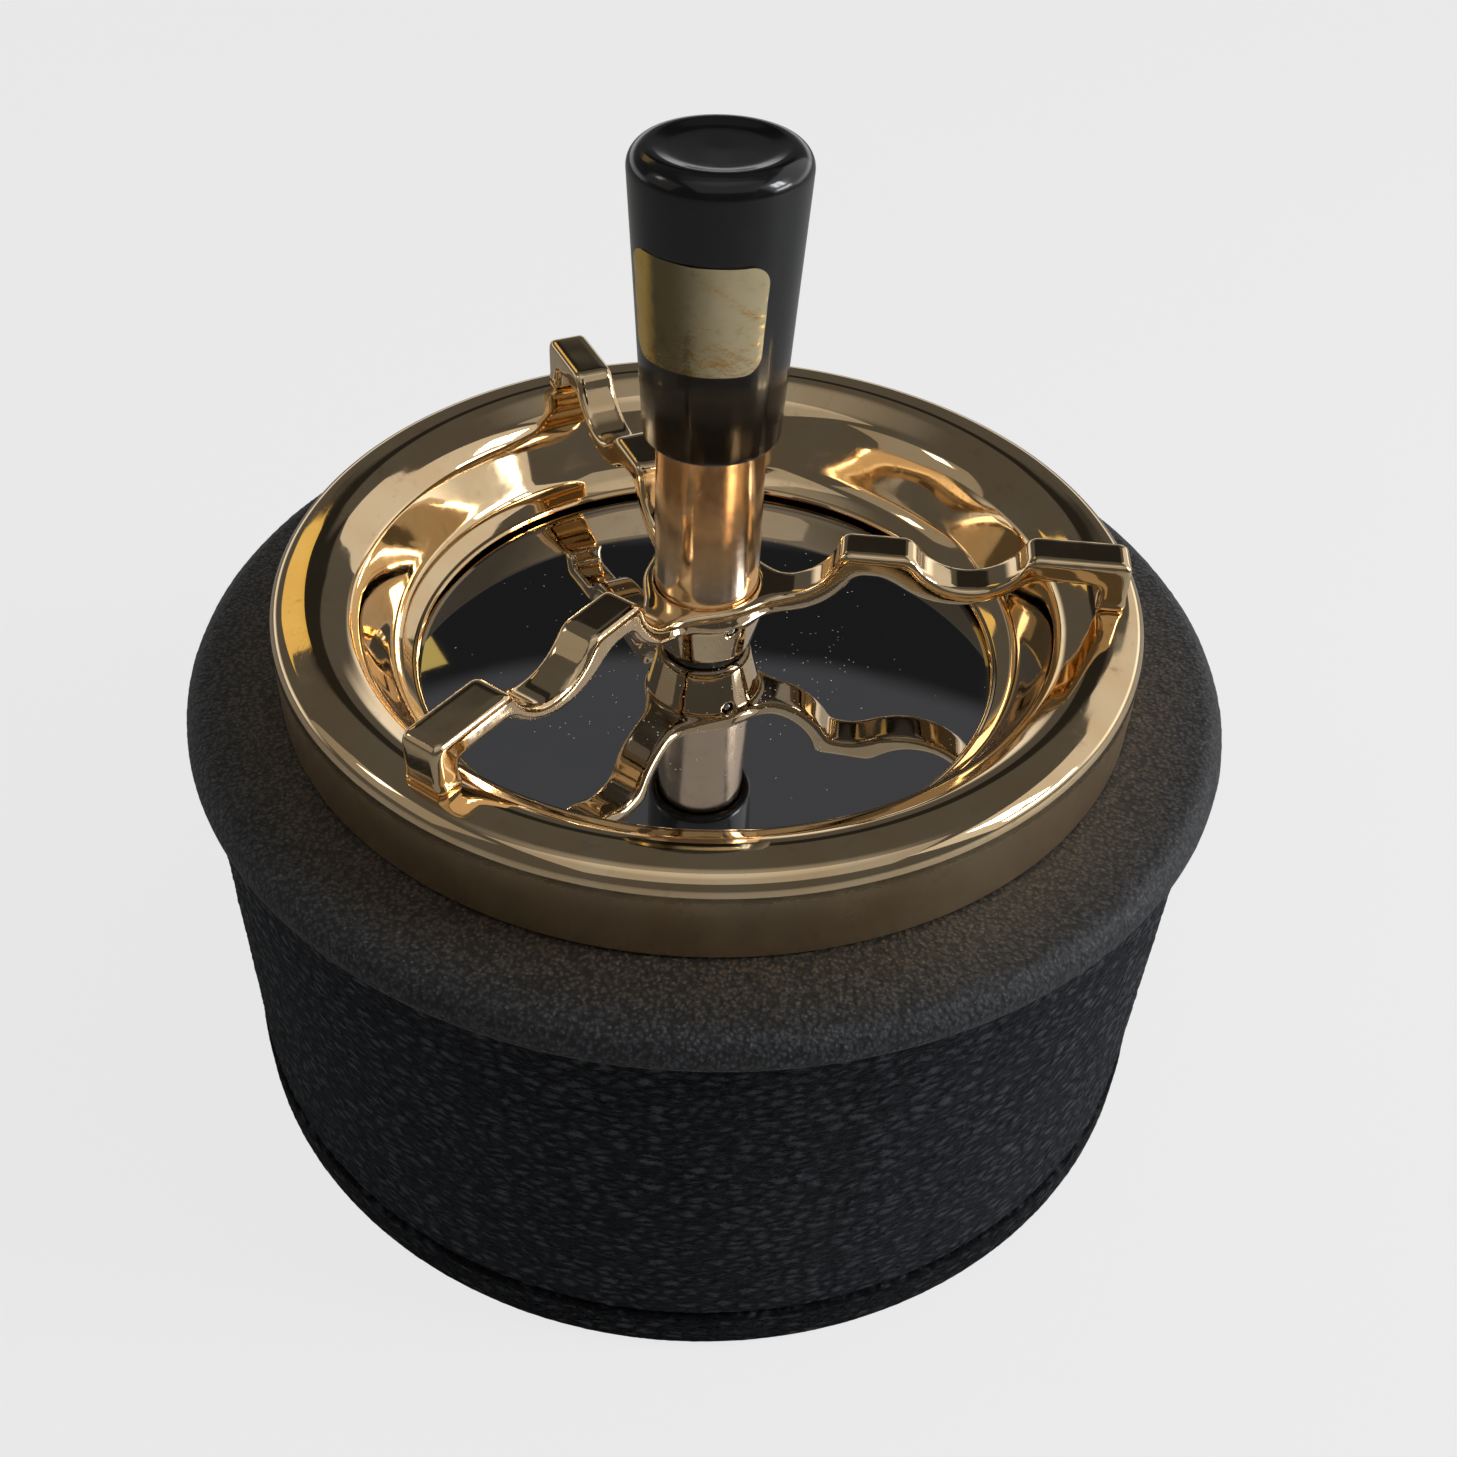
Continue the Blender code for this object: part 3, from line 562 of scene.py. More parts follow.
def make_looks():
    """Every look by its short name."""
    gold, amber = (0.93, 0.72, 0.45), (0.88, 0.64, 0.37)
    grey, dim = (0.66, 0.66, 0.67), (0.56, 0.55, 0.54)
    yellow, bronze = (0.82, 0.62, 0.30), (0.70, 0.50, 0.22)
    return {
        "gilt": metal("polished_gilt", gold, amber, 0.035, 0.06, satin=DISH_R),
        "tube": metal("drawn_gilt_tube", (0.94, 0.74, 0.54), (0.90, 0.68, 0.47), 0.15, 0.10),
        "cast": metal("polished_gilt_casting", gold, amber, 0.05, 0.08, 0.012),
        "steel": metal("plated_steel", grey, dim, 0.18, 0.15, 0.004, 0.004),
        "brass": metal("turned_brass", yellow, bronze, 0.2, 0.15, 0.004, 0.006),
        "crinkle": crinkle_look(),
        "leather": leather_look(),
        "felt": felt_look(),
        "disc": mirror_look(),
        "knob": knob_look(),
        "foil": foil_look(),
        "nylon": nylon_look(),
    }


# --- Drum -------------------------------------------------------------------------------------


def above(height, edge, run):
    """0 well below the edge height and 1 once `run` above it."""
    return np.clip((height - edge) / run, 0.0, 1.0)


def drum_shell(looks):
    """Wall, rolled shoulder and neck, with the coat's grain raised on the shoulder."""
    path = [
        (DRUM_R, SHELL_LOW),
        (DRUM_R, SHOULDER_LOW, 0.5),
        (SHOULDER_R, SHOULDER_LOW + 0.2, 0.9),
        (SHOULDER_R, SHOULDER_Z, 3.0),
        (NECK_R, SHOULDER_Z, 1.2),
        (NECK_R, NECK_TOP),
    ]
    outside = bent(path)
    wall = [point for point in outside if point.y < SHOULDER_LOW - 0.5]
    shoulder = [point for point in outside if point.y >= SHOULDER_LOW - 0.5]
    section = wall + dense(shoulder, 0.42) + bent(moved_left(path, SHEET))[::-1]

    def grain(points, normals):
        radius = from_axis(points)
        shown = above(points[..., 2], SHOULDER_LOW + 0.3, 0.4) * above(radius, NECK_R + 0.6, 0.8)
        shown *= above(points[..., 2], SHOULDER_Z - 3.2, 0.3) * (normals[..., 2] > -0.3)
        shown *= (normals[..., 2] > 0.05) | (radius > SHOULDER_R - 0.1)
        lumps = 0.05 * creases(points, 1.15) + 0.03 * clouds(points, 0.9, 5)
        return shown * (lumps + 0.05 * clouds(points, 7.0, 2) - 0.05)

    return lathe("drum_shell", section, 960, looks["crinkle"], grain)


def base_band(looks):
    """Pressed floor and its rolled band, grained like the leather above it."""
    inner = DRUM_R + GAP
    edge = [
        (FOOT_BEND_R, FOOT_BEND_Z, 0.4),
        (BAND_R, FOOT_BEND_Z, 1.6),
        (BAND_R, BAND_TOP, 0.5),
        (inner, BAND_TOP),
    ]
    side = bent([(FLOOR_R, BAND_LOW + 0.9), *edge, (inner, BAND_TOP - 1.0)])
    section = [Vector((0.0, FLOOR_LOW)), Vector((FLOOR_R, FLOOR_LOW)), *dense(side[1:-1], 0.45)]
    section += [Vector((inner, FLOOR_TOP)), Vector((0.0, FLOOR_TOP))]

    def grain(points, normals):
        shown = above(from_axis(points), BAND_R - 0.6, 0.5) * above(points[..., 2], 0.6, 1.0)
        return shown * (0.06 * creases(points, 1.3, 3) - 0.06)

    return lathe("base_band", section, 960, looks["leather"], grain)


def leather_wrap(looks):
    """Leather band glued round the drum, its ends meeting in a butt seam at the back."""
    inner = DRUM_R + GAP
    edge = 0.5
    face = bent(
        [
            (LEATHER_R - 1.0, LEATHER_LOW),
            (LEATHER_R, LEATHER_LOW, edge),
            (LEATHER_R, LEATHER_TOP, edge),
            (LEATHER_R - 1.0, LEATHER_TOP),
        ]
    )
    section = [Vector((inner, LEATHER_LOW)), *dense(face, 0.5), Vector((inner, LEATHER_TOP))]

    def hide(points, normals):
        shown = above(from_axis(points), LEATHER_R - 0.45, 0.4)
        angle = np.arctan2(points[..., 1], points[..., 0])
        seam = np.abs(angle - SEAM_ANGLE) * LEATHER_R
        squeezed = points * np.array([0.62, 0.62, 1.25])
        grain = 0.16 * creases(squeezed, 1.05, 7) + 0.05 * clouds(squeezed, 0.8, 9)
        slack = 0.09 * clouds(points, 16.0, 4) + 0.05 * clouds(points, 5.0, 6)
        lips = 0.10 * np.exp(-((seam - 0.9) / 0.6) ** 2)
        slot = -0.42 * np.exp(-((seam / 0.28) ** 4))
        return shown * (grain + slack + lips + slot - 0.25)

    return lathe("leather_band", section, 840, looks["leather"], hide)


def felt_pad(looks):
    """Round pad under the floor, with its nap raised on the side it stands on."""
    edge = [(FELT_R, FELT_LOW, 0.4), (FELT_R, FELT_TOP, 0.2)]
    section = bent([(0.0, FELT_LOW), *edge, (0.0, FELT_TOP)])

    def nap(points, normals):
        down = normals[..., 2] < -0.5
        return np.where(down, 0.10 * clouds(points, 1.6, 11) - 0.12, 0.0)

    return lathe("felt_pad", dense(section, 1.1), 360, looks["felt"], nap)


# --- Dish, rest and column --------------------------------------------------------------------


def dish(looks):
    """Skirt, flat rim and dished bowl with a fine bead round its throat, one polished sheet."""
    path = [
        (DISH_R, SKIRT_LOW),
        (DISH_R, RIM_OUTER_Z, 2.4),
        (BROW_R, DISH_TOP, BOWL_BEND),
        (LIP_R, LIP_Z, BOWL_BEND),
        (BOWL_R, BOWL_Z, BOWL_BEND),
        (THROAT_R + 0.7, THROAT_Z + 0.15, 0.4),
        (THROAT_R + 0.3, THROAT_Z + 0.3, 0.3),
        (THROAT_R, THROAT_Z - 0.1),
    ]
    outside = dense(bent(path, math.radians(5)), 0.9)
    inside = dense(bent(moved_left(path, SHEET), math.radians(9)), 1.6)[::-1]

    def waves(points, normals):
        return 0.018 * clouds(points, 15.0, 21) + 0.006 * clouds(points, 5.0, 22)

    return lathe("gilt_dish", outside + inside, 320, looks["gilt"], waves, sharp=60)


def soft_max(first, second, blend):
    """The larger of two distances, with the corner between them rounded."""
    near = np.maximum(blend - np.abs(first - second), 0.0) / blend
    return np.maximum(first, second) + near * near * blend / 4


def soft_min(first, second, blend):
    """The smaller of two distances, with the corner between them rounded."""
    return -soft_max(-first, -second, blend)


# One arm seen from the side, as (distance from the axis, height): two bites for cigarettes,
# cut from above, and the same bites pushed down into the under side.
PLATEAU_Z = 81.4
OUTER_PLATEAU_Z = 83.0
UNDER_BUMP_Z = 78.2
UNDER_PLATEAU_Z = 79.6
ARM_END = 52.9
LEG_INNER = 49.3
ARM_HALF_WIDTH = 2.8
FOOT_Z = 76.3
HUB_R = 8.3
HUB_REACH = 14.0
COLLAR_R = 7.8
COLLAR_LOW_R = 6.2
HUB_WAIST_Z = 70.6
BITE_1 = (9.0, 82.2, 8.0)
BITE_2 = (32.9, 85.0, 7.7)
BELLY_1 = (9.0, 82.2, 10.7)
BELLY_2 = (31.4, 86.2, 11.4)
REST_BORE_R = 5.1
PIN_HOLE_R = 0.85
GRID_STEP = 0.36


def away(distance, height, circle):
    """Distance outside a circle in the side view."""
    return np.hypot(distance - circle[0], height - circle[1]) - circle[2]


def arm_side(distance, height):
    """Signed distance to one arm's side view, negative inside the metal."""
    span = np.maximum(distance, BITE_1[0])
    middle = BITE_2[0]
    top = height - np.where(span < middle, PLATEAU_Z, OUTER_PLATEAU_Z)
    top = soft_max(top, -away(span, height, BITE_1), 1.3)
    top = soft_max(top, -away(span, height, BITE_2), 1.3)
    under = np.where(span < BELLY_2[0], UNDER_BUMP_Z, UNDER_PLATEAU_Z) - height
    under = soft_min(under, away(span, height, BELLY_1), 1.6)
    under = soft_min(under, away(span, height, BELLY_2), 1.6)
    leg = np.maximum(LEG_INNER - distance, FOOT_Z - height)
    under = soft_min(under, leg, 1.4)
    side = soft_max(top, under, 0.5)
    return soft_max(side, distance - ARM_END - 0.7 * foot_flare(height), 1.5)


def foot_flare(height):
    """How far an arm's foot has spread at this height, from 0 to 1 on the rim."""
    return np.clip((FOOT_Z + 1.6 - height) / 1.6, 0.0, 1.0) ** 2


def by_nearest_arm(x, y):
    """Distance from the axis, along the nearest arm, and away from its middle line."""
    third = 2 * math.pi / ARM_COUNT
    radius = np.hypot(x, y)
    angle = (np.arctan2(y, x) - ARM_START + third / 2) % third - third / 2
    return radius, radius * np.cos(angle), np.abs(radius * np.sin(angle))


def rest_field(points):
    """Signed distance to the rest: hub, collar and three arms, fused with small fillets."""
    x, y, z = points[..., 0], points[..., 1], points[..., 2]
    radius, distance, across = by_nearest_arm(x, y)
    flare = 0.6 * foot_flare(z)
    plan = soft_min(across - ARM_HALF_WIDTH - flare * (distance > 40), radius - HUB_R, 4.0)
    arms = soft_max(arm_side(distance, z), plan, 0.95)
    taper = COLLAR_LOW_R + (COLLAR_R - COLLAR_LOW_R) * (z - COLLAR_LOW) / (HUB_WAIST_Z - COLLAR_LOW)
    collar = soft_max(radius - taper, COLLAR_LOW - z, 0.8)
    collar = soft_max(collar, z - HUB_WAIST_Z - 1.0, 0.5)
    solid = soft_min(arms, collar, 0.9)
    bore = np.where(z > COLUMN_LOW - GAP, COLUMN_R + 0.12, REST_BORE_R) - radius
    solid = soft_max(solid, bore, 0.25)
    reach = x * math.cos(PIN_ANGLE) + y * math.sin(PIN_ANGLE)
    aside = -x * math.sin(PIN_ANGLE) + y * math.cos(PIN_ANGLE)
    hole = np.where(reach > 0, PIN_HOLE_R - np.hypot(aside, z - PIN_Z), -9.0)
    return soft_max(solid, hole, 0.3)


def surface_of(field, low, high, step, near):
    """Points and quads of the zero surface of a field, by surface nets on a regular grid.

    near(x, y) picks the columns of the grid that can hold any of the solid.
    """
    axes = [np.arange(low[axis], high[axis] + step, step) for axis in range(3)]
    shape = tuple(len(axis) for axis in axes)
    flat = np.stack(np.meshgrid(axes[0], axes[1], indexing="ij"), -1)
    columns = np.argwhere(near(flat[..., 0], flat[..., 1]))
    value = np.full(shape, 1.0, np.float32)
    places = flat[columns[:, 0], columns[:, 1]]
    grid = np.empty((len(columns), shape[2], 3))
    grid[..., :2] = places[:, None]
    grid[..., 2] = axes[2]
    value[columns[:, 0], columns[:, 1]] = field(grid)
    inside = value < 0
    corners = list(itertools.product((0, 1), repeat=3))
    count = sum(
        inside[a : shape[0] - 1 + a, b : shape[1] - 1 + b, c : shape[2] - 1 + c].astype(np.int8)
        for a, b, c in corners
    )
    mixed = np.argwhere((count > 0) & (count < 8))
    number = np.full(tuple(n - 1 for n in shape), -1, np.int64)
    number[tuple(mixed.T)] = np.arange(len(mixed))
    total, crossings = np.zeros((len(mixed), 3)), np.zeros((len(mixed), 1))
    for corner in corners:
        for axis in range(3):
            if corner[axis]:
                continue
            start = mixed + np.array(corner)
            end = start + np.eye(3, dtype=int)[axis]
            one, two = value[tuple(start.T)], value[tuple(end.T)]
            cut = (one < 0) != (two < 0)
            share = np.where(cut, one / np.where(cut, one - two, 1.0), 0.0)[:, None]
            total += np.where(cut[:, None], start + share * (end - start), 0.0)
            crossings += cut[:, None]
    points = np.array(low) + step * total / crossings
    quads = []
    for axis in range(3):
        one, two = (axis + 1) % 3, (axis + 2) % 3
        unit = np.eye(3, dtype=int)
        ahead = np.roll(inside, -1, axis)
        starts = np.argwhere(inside != ahead)
        flip = inside[tuple(starts.T)]
        ring = [starts - unit[one] - unit[two], starts - unit[two], starts, starts - unit[one]]
        quad = np.stack([number[tuple(cell.T)] for cell in ring], -1)
        quads.append(np.where(flip[:, None], quad, quad[:, ::-1]))
    for _ in range(3):
        points = pulled_to(field, points)
    return points, np.concatenate(quads).tolist()


def pulled_to(field, points):
    """Moves points along the field's slope on to its zero surface."""
    nudge = 0.02
    slope = np.stack(
        [
            (field(points + nudge * axis) - field(points - nudge * axis)) / (2 * nudge)
            for axis in np.eye(3)
        ],
        -1,
    )
    steep = np.maximum(np.sum(slope * slope, -1, keepdims=True), 0.25)
    return points - np.clip(field(points)[..., None] * slope / steep, -0.15, 0.15)


def rest(looks):
    """Three-armed cigarette rest with its hub and tapered collar, one polished casting."""

    def near(x, y):
        radius, _, across = by_nearest_arm(x, y)
        on_arm = (across < ARM_HALF_WIDTH + 2.0) & (radius < ARM_END + 2.0)
        return (radius < HUB_REACH) | on_arm

    low = (-54.03, -50.03, COLLAR_LOW - 1.0)
    high = (54.5, 50.5, OUTER_PLATEAU_Z + 1.0)
    points, faces = surface_of(rest_field, low, high, GRID_STEP, near)
    return sharpen(new_piece("cigarette_rest", points, faces, looks["cast"]), 75)


def column(looks):
    """Drawn tube that the knob slides on."""
    bore = COLUMN_R - TUBE_WALL
    section = bent(
        [
            (bore, COLUMN_LOW),
            (COLUMN_R, COLUMN_LOW, 0.2),
            (COLUMN_R, COLUMN_TOP, 0.5),
            (bore, COLUMN_TOP, 0.15),
            (bore, COLUMN_LOW),
        ]
    )[:-1]

    def drawn(points, normals):
        return 0.006 * clouds(points * np.array([1.0, 1.0, 0.3]), 2.5, 31)

    return lathe("column", dense(section, 1.0), 144, looks["tube"], drawn)


def coil(looks):
    """Return spring with closed end turns."""
    wire = 0.45
    radius = SPRING_R - wire
    turns, ring, steps = 9, 12, 40
    around = np.linspace(0, 2 * math.pi, ring, endpoint=False)
    share = np.linspace(0.0, 1.0, turns * steps + 1)
    ends = np.clip(np.minimum(share, 1 - share) * turns, 0, 1)
    pace = 0.12 + 0.88 * ends * ends * (3 - 2 * ends)
    climb = np.concatenate([[0.0], np.cumsum((pace[1:] + pace[:-1]) / 2)])
    rise = SPRING_LOW + wire + (SPRING_TOP - SPRING_LOW - 2 * wire) * climb / climb[-1]
    angle = share * turns * 2 * math.pi
    reach = radius + wire * np.cos(around)[None]
    loops = np.stack(
        [
            reach * np.cos(angle)[:, None],
            reach * np.sin(angle)[:, None],
            rise[:, None] + wire * np.sin(around)[None],
        ],
        -1,
    )
    spring = swept("return_coil", loops, looks["steel"])
    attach(spring, "lid")
    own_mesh(spring)
    return spring


# --- Knob -------------------------------------------------------------------------------------


def knob_side(height):
    """Radius of the knob's tapered side."""
    share = (height - KNOB_LOW) / (KNOB_HIGH - KNOB_LOW)
    return KNOB_LOW_R + (KNOB_HIGH_R - KNOB_LOW_R) * share


def knob(looks):
    """Hollow tapered knob with a soft top edge and a shallow dish in its crown."""
    section = bent(
        [
            (0.0, KNOB_ROOF_Z),
            (KNOB_BORE_R, KNOB_ROOF_Z, 0.3),
            (KNOB_BORE_R, KNOB_LOW, 0.3),
            (KNOB_LOW_R, KNOB_LOW, 0.9),
            (KNOB_HIGH_R, KNOB_HIGH, 2.4),
            (7.5, KNOB_HIGH - 0.1, 1.2),
            (5.9, KNOB_HIGH - 0.5, 6.0),
            (0.0, KNOB_HIGH - 0.75),
        ],
        math.radians(6),
    )

    def moulded(points, normals):
        return 0.012 * clouds(points, 9.0, 41)

    return lathe("push_knob", dense(section, 1.2), 192, looks["knob"], moulded)


def label(looks):
    """Plain gold-foil sticker with round corners, slight wrinkles and one creased corner."""
    wide, tall, ring = 64, 36, 2.4
    middle = (LABEL_LOW + LABEL_TOP) / 2
    half_wide = LABEL_SPAN / 2 * knob_side(middle)
    half_tall = (LABEL_TOP - LABEL_LOW) / 2
    u, v = np.meshgrid(np.linspace(-1, 1, wide), np.linspace(-1, 1, tall), indexing="ij")
    x, y = u * half_wide, v * half_tall
    corner_x = np.maximum(np.abs(x) - (half_wide - ring), 0.0)
    corner_y = np.maximum(np.abs(y) - (half_tall - ring), 0.0)
    reach = np.maximum(np.hypot(corner_x, corner_y), np.maximum(corner_x, corner_y))
    largest = np.maximum(np.maximum(corner_x, corner_y), 1e-9)
    pull = np.where((corner_x > 0) & (corner_y > 0), largest / np.maximum(reach, 1e-9), 1.0)
    x = np.sign(x) * (np.minimum(np.abs(x), half_wide - ring) + corner_x * pull)
    y = np.sign(y) * (np.minimum(np.abs(y), half_tall - ring) + corner_y * pull)
    angle = LABEL_MIDDLE + x / knob_side(middle)
    height = middle + y
    crease = (x / half_wide + y / half_tall - 1.08) * 4.0
    wrinkle = np.stack([x * 0.6, y, np.zeros_like(x)], -1)
    lift = 0.13 + 0.03 * clouds(wrinkle, 2.4, 51) + 0.02 * clouds(wrinkle, 1.1, 52)
    lift += 0.10 * np.exp(-(crease**2) * 2.0) + 0.10 * np.clip(crease - 0.3, 0.0, 2.0)
    skins = []
    for extra in (lift, np.full_like(lift, 0.02)):
        radius = knob_side(height) + extra
        skins.append(np.stack([radius * np.cos(angle), radius * np.sin(angle), height], -1))
    points = np.concatenate([skin.reshape(-1, 3) for skin in skins])
    index = np.arange(wide * tall).reshape(wide, tall)
    grid = np.stack([index[:-1, :-1], index[1:, :-1], index[1:, 1:], index[:-1, 1:]], -1)
    front = grid.reshape(-1, 4)
    back = front[:, ::-1] + wide * tall
    border = np.concatenate([index[:-1, 0], index[-1, :-1], index[:0:-1, -1], index[0, :0:-1]])
    after = np.roll(border, -1)
    edge = np.stack([border, border + wide * tall, after + wide * tall, after], -1)
    faces = np.concatenate([front, back, edge]).tolist()
    return sharpen(new_piece("foil_label", points, faces, looks["foil"]), 50)


# --- Spindle and disc -------------------------------------------------------------------------


def dome(radius):
    """Height of the disc's top at this radius."""
    return DISC_CROWN - radius * radius / (2 * DOME_R)


def mirror_disc(looks):
    """Shallow domed disc with its edge rolled down."""
    inner = DISC_R - DISC_SHEET
    top = [Vector((r, dome(r))) for r in np.linspace(DISC_HOLE_R, DISC_R - 1.0, 44)]
    edge = bent(
        [
            (DISC_R - 1.0, dome(DISC_R - 1.0)),
            (DISC_R, dome(DISC_R), 0.6),
            (DISC_R, DISC_LOW, 0.3),
            (inner, DISC_LOW, 0.3),
            (inner, dome(DISC_R) - DISC_SHEET),
        ]
    )
    below = np.linspace(inner - 0.5, DISC_HOLE_R, 24)
    under = [Vector((r, dome(r) - DISC_SHEET)) for r in below]
    return lathe("mirror_disc", top + edge[1:] + under, 288, looks["disc"], sharp=50)


def turned_piece(name, corners, look, around=72):
    """A small turned part, with the corners of its section broken."""
    closed = [*corners, corners[0]]
    rounded = [(*corner[:2], 0.12 if corner[0] > 0.5 else 0.0) for corner in closed]
    return lathe(name, bent(rounded, math.radians(30))[:-1], around, look)


def twisted_spindle(looks):
    """Threaded stud, twisted strip with rounded edges, shank and head."""
    ring = 24
    around = np.arange(ring) * (2 * math.pi / ring)
    full_turn = 2 * math.pi
    loops = []

    def loop(x, y, twist, height):
        """One loop of points round the axis, turned by the twist."""
        turned_x = x * math.cos(twist) - y * math.sin(twist)
        turned_y = x * math.sin(twist) + y * math.cos(twist)
        loops.append(np.stack([turned_x, turned_y, np.full(ring, height)], -1))

    def circle(radius, height, twist):
        loop(radius * np.cos(around), radius * np.sin(around), twist, height)

    low_twist = full_turn * TWIST_START / SPINDLE_LEAD
    for height in np.arange(STUD_LOW, STUD_TOP, 0.09):
        turns = height / STUD_PITCH - (around + low_twist) / full_turn
        thread = 0.11 * (np.abs((turns % 1.0) * 2 - 1) - 0.6)
        circle(STUD_R + thread * min(1.0, (height - STUD_LOW + 0.1) / 0.4), height, low_twist)
    circle(PLAIN_R, PLAIN_LOW, low_twist)
    circle(PLAIN_R, PLAIN_TOP, low_twist)
    across, through = (np.sign(w) * np.abs(w) ** 0.42 for w in (np.cos(around), np.sin(around)))
    for height in np.linspace(STRIP_LOW, STRIP_TOP, 110):
        twist = full_turn * height / SPINDLE_LEAD
        loop(STRIP_HALF_WIDTH * across, STRIP_HALF_THICKNESS * through, twist, height)
    high_twist = full_turn * STRIP_TOP / SPINDLE_LEAD
    for radius, height in (
        (SHANK_R, STRIP_TOP + 0.5),
        (SHANK_R, HEAD_LOW - 0.1),
        (HEAD_R - 0.1, HEAD_LOW),
        (HEAD_R, HEAD_LOW + 0.1),
        (HEAD_R, HEAD_TOP - 0.1),
        (HEAD_R - 0.1, HEAD_TOP),
    ):
        circle(radius, height, high_twist)
    return swept("twisted_spindle", loops, looks["steel"], 35)


def washer(name, node, bore, look):
    """A plain ring in the place of its CAD node."""
    outer, low, top = size(node)
    return turned_piece(name, [(bore, low), (outer, low), (outer, top), (bore, top)], look)


def insert(looks):
    """Brass insert in the knob: a hollow stem under a wide flange."""
    outer, low, top = size("knob_insert")
    stem, bore, counterbore = 5.0, 2.3, 3.4
    flange, ledge = 124.8, 122.6
    outside = [(bore, low), (stem, low), (stem, flange), (outer, flange), (outer, top)]
    inside = [(counterbore, top), (counterbore, ledge), (bore, ledge)]
    return turned_piece("insert", outside + inside, looks["brass"])


def hex_nut(looks):
    """Hexagon nut with its corners turned off."""
    outer, low, top = size("disc_nut")
    bore = 2.1
    corners = [(bore, low), (outer - 0.7, low), (outer, low + 0.45)]
    corners += [(outer, top - 0.45), (outer - 0.7, top), (bore, top)]

    def flats(points, normals):
        radius = from_axis(points)
        angle = np.arctan2(points[..., 1], points[..., 0])
        half = math.pi / 6
        sector = (angle + half) % (2 * half) - half
        flat = outer * math.cos(half) / np.cos(np.abs(half - np.abs(sector)))
        side = (normals[..., 2] ** 2 < 0.9) & (radius > 3.0)
        return np.where(side, np.minimum(flat, radius) - radius, 0.0)

    section = [Vector(corner) for corner in corners]
    return lathe("hex_nut", section, 96, looks["steel"], flats, sharp=25)


def cross_pin(looks):
    """Short pin with domed ends through the collar."""
    low, top = 3.8, COLLAR_R - 0.45
    section = bent([(0.0, low), (0.6, low, 0.2), (0.6, top, 0.3), (0.0, top)])
    pin = lathe("cross_pin", section, 40, looks["steel"])
    turn = Matrix.Rotation(PIN_ANGLE, 4, "Z") @ Matrix.Rotation(math.pi / 2, 4, "Y")
    pin.data.transform(Matrix.Translation((0.0, 0.0, PIN_Z * MM)) @ turn)
    return pin


# --- Assembly ---------------------------------------------------------------------------------


def fit(piece, body, node):
    """The piece rides on its body and stands for its CAD node, which it hides."""
    if "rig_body" not in piece:
        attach(piece, body)
    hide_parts(node)


def assemble(looks):
    """Makes every piece and sets it on its body; four CAD pieces only get a finer look."""
    for make, body, node in (
        (drum_shell, "pot", "pot_shell"),
        (base_band, "pot", "base_plate"),
        (felt_pad, "pot", "base_felt"),
        (leather_wrap, "pot", "leather_wrap"),
        (dish, "lid", "gilt_rim"),
        (rest, "lid", "spider"),
        (column, "lid", "column_tube"),
        (coil, "lid", "return_spring"),
        (knob, "plunger", "knob"),
        (label, "plunger", "knob_label"),
        (mirror_disc, "spinner", "spinner_disc"),
        (twisted_spindle, "spinner", "spindle"),
    ):
        fit(make(looks), body, node)
    fit(washer("nylon_bush", "hub_bush", 3.9, looks["nylon"]), "lid", "hub_bush")
    fit(insert(looks), "plunger", "knob_insert")
    for name, body, node, bore, look in (
        ("seat_washer", "plunger", "spring_seat", 2.4, "steel"),
        ("head_washer", "spinner", "thrust_washer", 2.3, "nylon"),
        ("disc_sleeve", "spinner", "disc_boss", 2.1, "steel"),
        ("under_washer", "spinner", "disc_washer", 2.1, "steel"),
    ):
        fit(washer(name, node, bore, looks[look]), body, node)
    fit(hex_nut(looks), "spinner", "disc_nut")
    fit(cross_pin(looks), "lid", "nut_pin")
    for node, look in (
        ("drive_nut", "brass"),
        ("spider_screw_1", "steel"),
        ("spider_screw_2", "steel"),
        ("spider_screw_3", "steel"),
    ):
        for slot in frame["nodes"][node].material_slots:
            slot.link = "OBJECT"
            slot.material = looks[look]


# --- Floor, lights and camera -----------------------------------------------------------------


def floor():
    """Plain pale floor."""
    look = Look("pale_floor", Roughness=0.6)
    grey = look.blend(look.noise(60.0, 3.0), (0.50, 0.50, 0.50), (0.53, 0.53, 0.53))
    look.set({"Base Color": grey})
    seen = look.add("ShaderNodeLightPath", {}, 0)
    glow = look.add("ShaderNodeEmission", {"Color": (1.0, 1.0, 1.0, 1.0), "Strength": 0.97})
    share = look.math("MULTIPLY", seen, 0.80)
    mixed = look.add("ShaderNodeMixShader", {0: share, 1: look.surface.outputs[0], 2: glow})
    look.wire(look.tree.nodes["Material Output"], {"Surface": mixed})
    half = 3000.0
    corners = [(-half, -half, 0), (half, -half, 0), (half, half, 0), (-half, half, 0)]
    new_piece("floor", corners, [(0, 1, 2, 3)], look.material)


def soft_light(name, azimuth, elevation, distance, wide, tall, brightness, tint=(1, 1, 1)):
    """A rectangular studio light that faces the dish; brightness is its radiance."""
    aim = Vector((0.0, 0.0, 70 * MM))
    a, e = math.radians(azimuth), math.radians(elevation)
    toward = Vector((math.cos(a) * math.cos(e), math.sin(a) * math.cos(e), math.sin(e)))
    data = bpy.data.lights.new(name, "AREA")
    data.shape = "RECTANGLE"
    data.size, data.size_y = wide, tall
    data.energy = brightness * math.pi * wide * tall
    data.color = tint
    lamp = bpy.data.objects.new(name, data)
    lamp.location = aim + toward * distance
    lamp.rotation_euler = toward.to_track_quat("Z", "Y").to_euler()
    lamp.visible_camera = False
    bpy.context.scene.collection.objects.link(lamp)


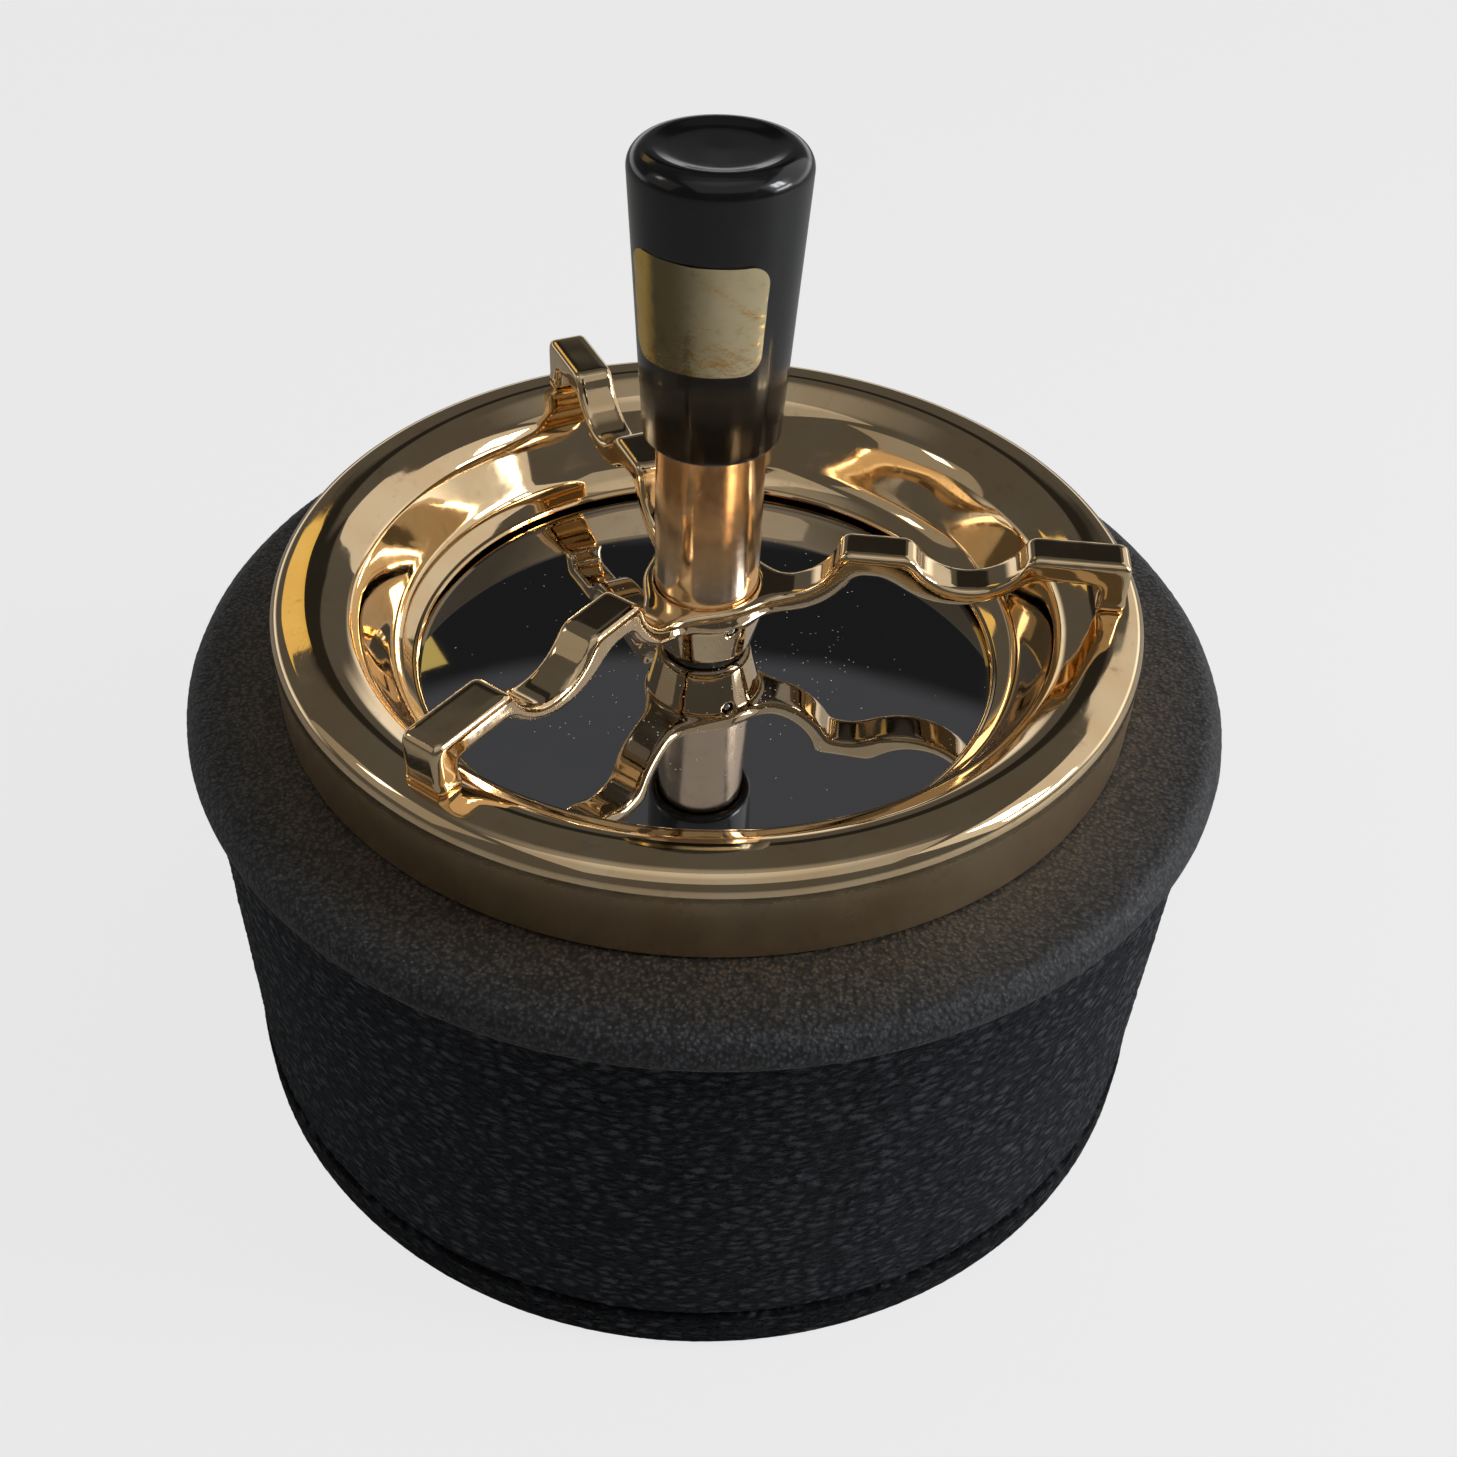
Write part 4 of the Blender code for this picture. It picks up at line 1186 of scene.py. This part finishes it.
def dim_room():
    """World light: a grey room, with something dark standing low behind the ashtray."""
    world = bpy.data.worlds.new("studio")
    bpy.context.scene.world = world
    world.use_nodes = True
    room = Nodes(world.node_tree)
    direction = room.add("ShaderNodeTexCoord", {}, "Generated")
    across, along, up = room.add("ShaderNodeSeparateXYZ", {0: direction}).node.outputs
    middle = room.steps(room.math("ABSOLUTE", across), 0.27, 0.32, 1.0, 0.0)
    behind = room.math("MULTIPLY", room.steps(along, 0.0, 0.1), middle)
    not_high = room.steps(up, 0.625, 0.655, 1.0, 0.0)
    level = room.math("MULTIPLY", room.steps(up, 0.455, 0.49), not_high)
    shade = room.math("MULTIPLY", behind, level)
    low_glow = room.steps(up, 0.08, 0.24, 0.8, 0.0)
    horizon = room.math("MULTIPLY", room.steps(along, 0.0, 0.3), low_glow)
    glow = room.math("ADD", room.steps(up, 0.85, 1.0, 0.085, 0.285), horizon)
    grey = room.math("SUBTRACT", glow, room.math("MULTIPLY", shade, 0.067))
    sky = room.tree.nodes["Background"]
    room.wire(sky, {"Color": (1.0, 1.0, 1.0), "Strength": grey})


def studio():
    """Soft boxes round the ashtray: walls, windows, a ceiling and a warm card behind it."""
    dim_room()
    soft_light("ceiling", -80, 62, 1.2, 1.6, 1.2, 0.28, (1.0, 0.98, 0.95))
    soft_light("right_wall", 16, 28, 3.0, 5.0, 2.8, 0.55, (1.0, 0.97, 0.94))
    soft_light("window_1", -14, 34, 0.70, 0.07, 0.20, 15.0, (0.94, 0.97, 1.0))
    soft_light("window_2", -5, 34, 0.70, 0.07, 0.20, 15.0, (0.94, 0.97, 1.0))
    soft_light("low_window", -8, 15, 0.80, 0.30, 0.10, 9.0, (0.90, 0.95, 1.0))
    soft_light("left_wall", 190, 30, 0.80, 0.60, 0.50, 0.20, (1.0, 0.93, 0.82))
    soft_light("left_window", 180, 40, 0.80, 0.10, 0.12, 3.0, (1.0, 0.96, 0.9))
    soft_light("warm_card", 120, 34, 3.0, 0.86, 0.44, 0.72, (1.0, 0.70, 0.17))


# The camera's place in millimetres, its angles in degrees, its lens and the shift of its picture.
EYE = Vector((0.0, -168.6, 197.8))
EYE_PAN, EYE_TILT, EYE_ROLL = -1.19, 41.25, 1.13
LENS = 39.5
SHIFT = (0.0353, -0.0082)


def camera():
    """The camera, in front of the ashtray and above it, looking down at the dish."""
    pan, tilt, roll = (math.radians(angle) for angle in (EYE_PAN, EYE_TILT, EYE_ROLL))
    level = Vector((math.sin(pan), math.cos(pan), 0.0))
    forward = level * math.cos(tilt) - Vector((0.0, 0.0, math.sin(tilt)))
    right = forward.cross(Vector((0, 0, 1))).normalized()
    up = right.cross(forward)
    across = right * math.cos(roll) + up * math.sin(roll)
    upward = up * math.cos(roll) - right * math.sin(roll)
    data = bpy.data.cameras.new("camera")
    data.lens = LENS
    data.shift_x, data.shift_y = SHIFT
    data.clip_start = 0.01
    eye = bpy.data.objects.new("camera", data)
    axes = Matrix((across, upward, -forward)).transposed().to_4x4()
    eye.matrix_world = Matrix.Translation(EYE * MM) @ axes
    bpy.context.scene.collection.objects.link(eye)
    bpy.context.scene.camera = eye


assemble(make_looks())
floor()
studio()
camera()
bpy.context.scene.view_settings.view_transform = "Standard"
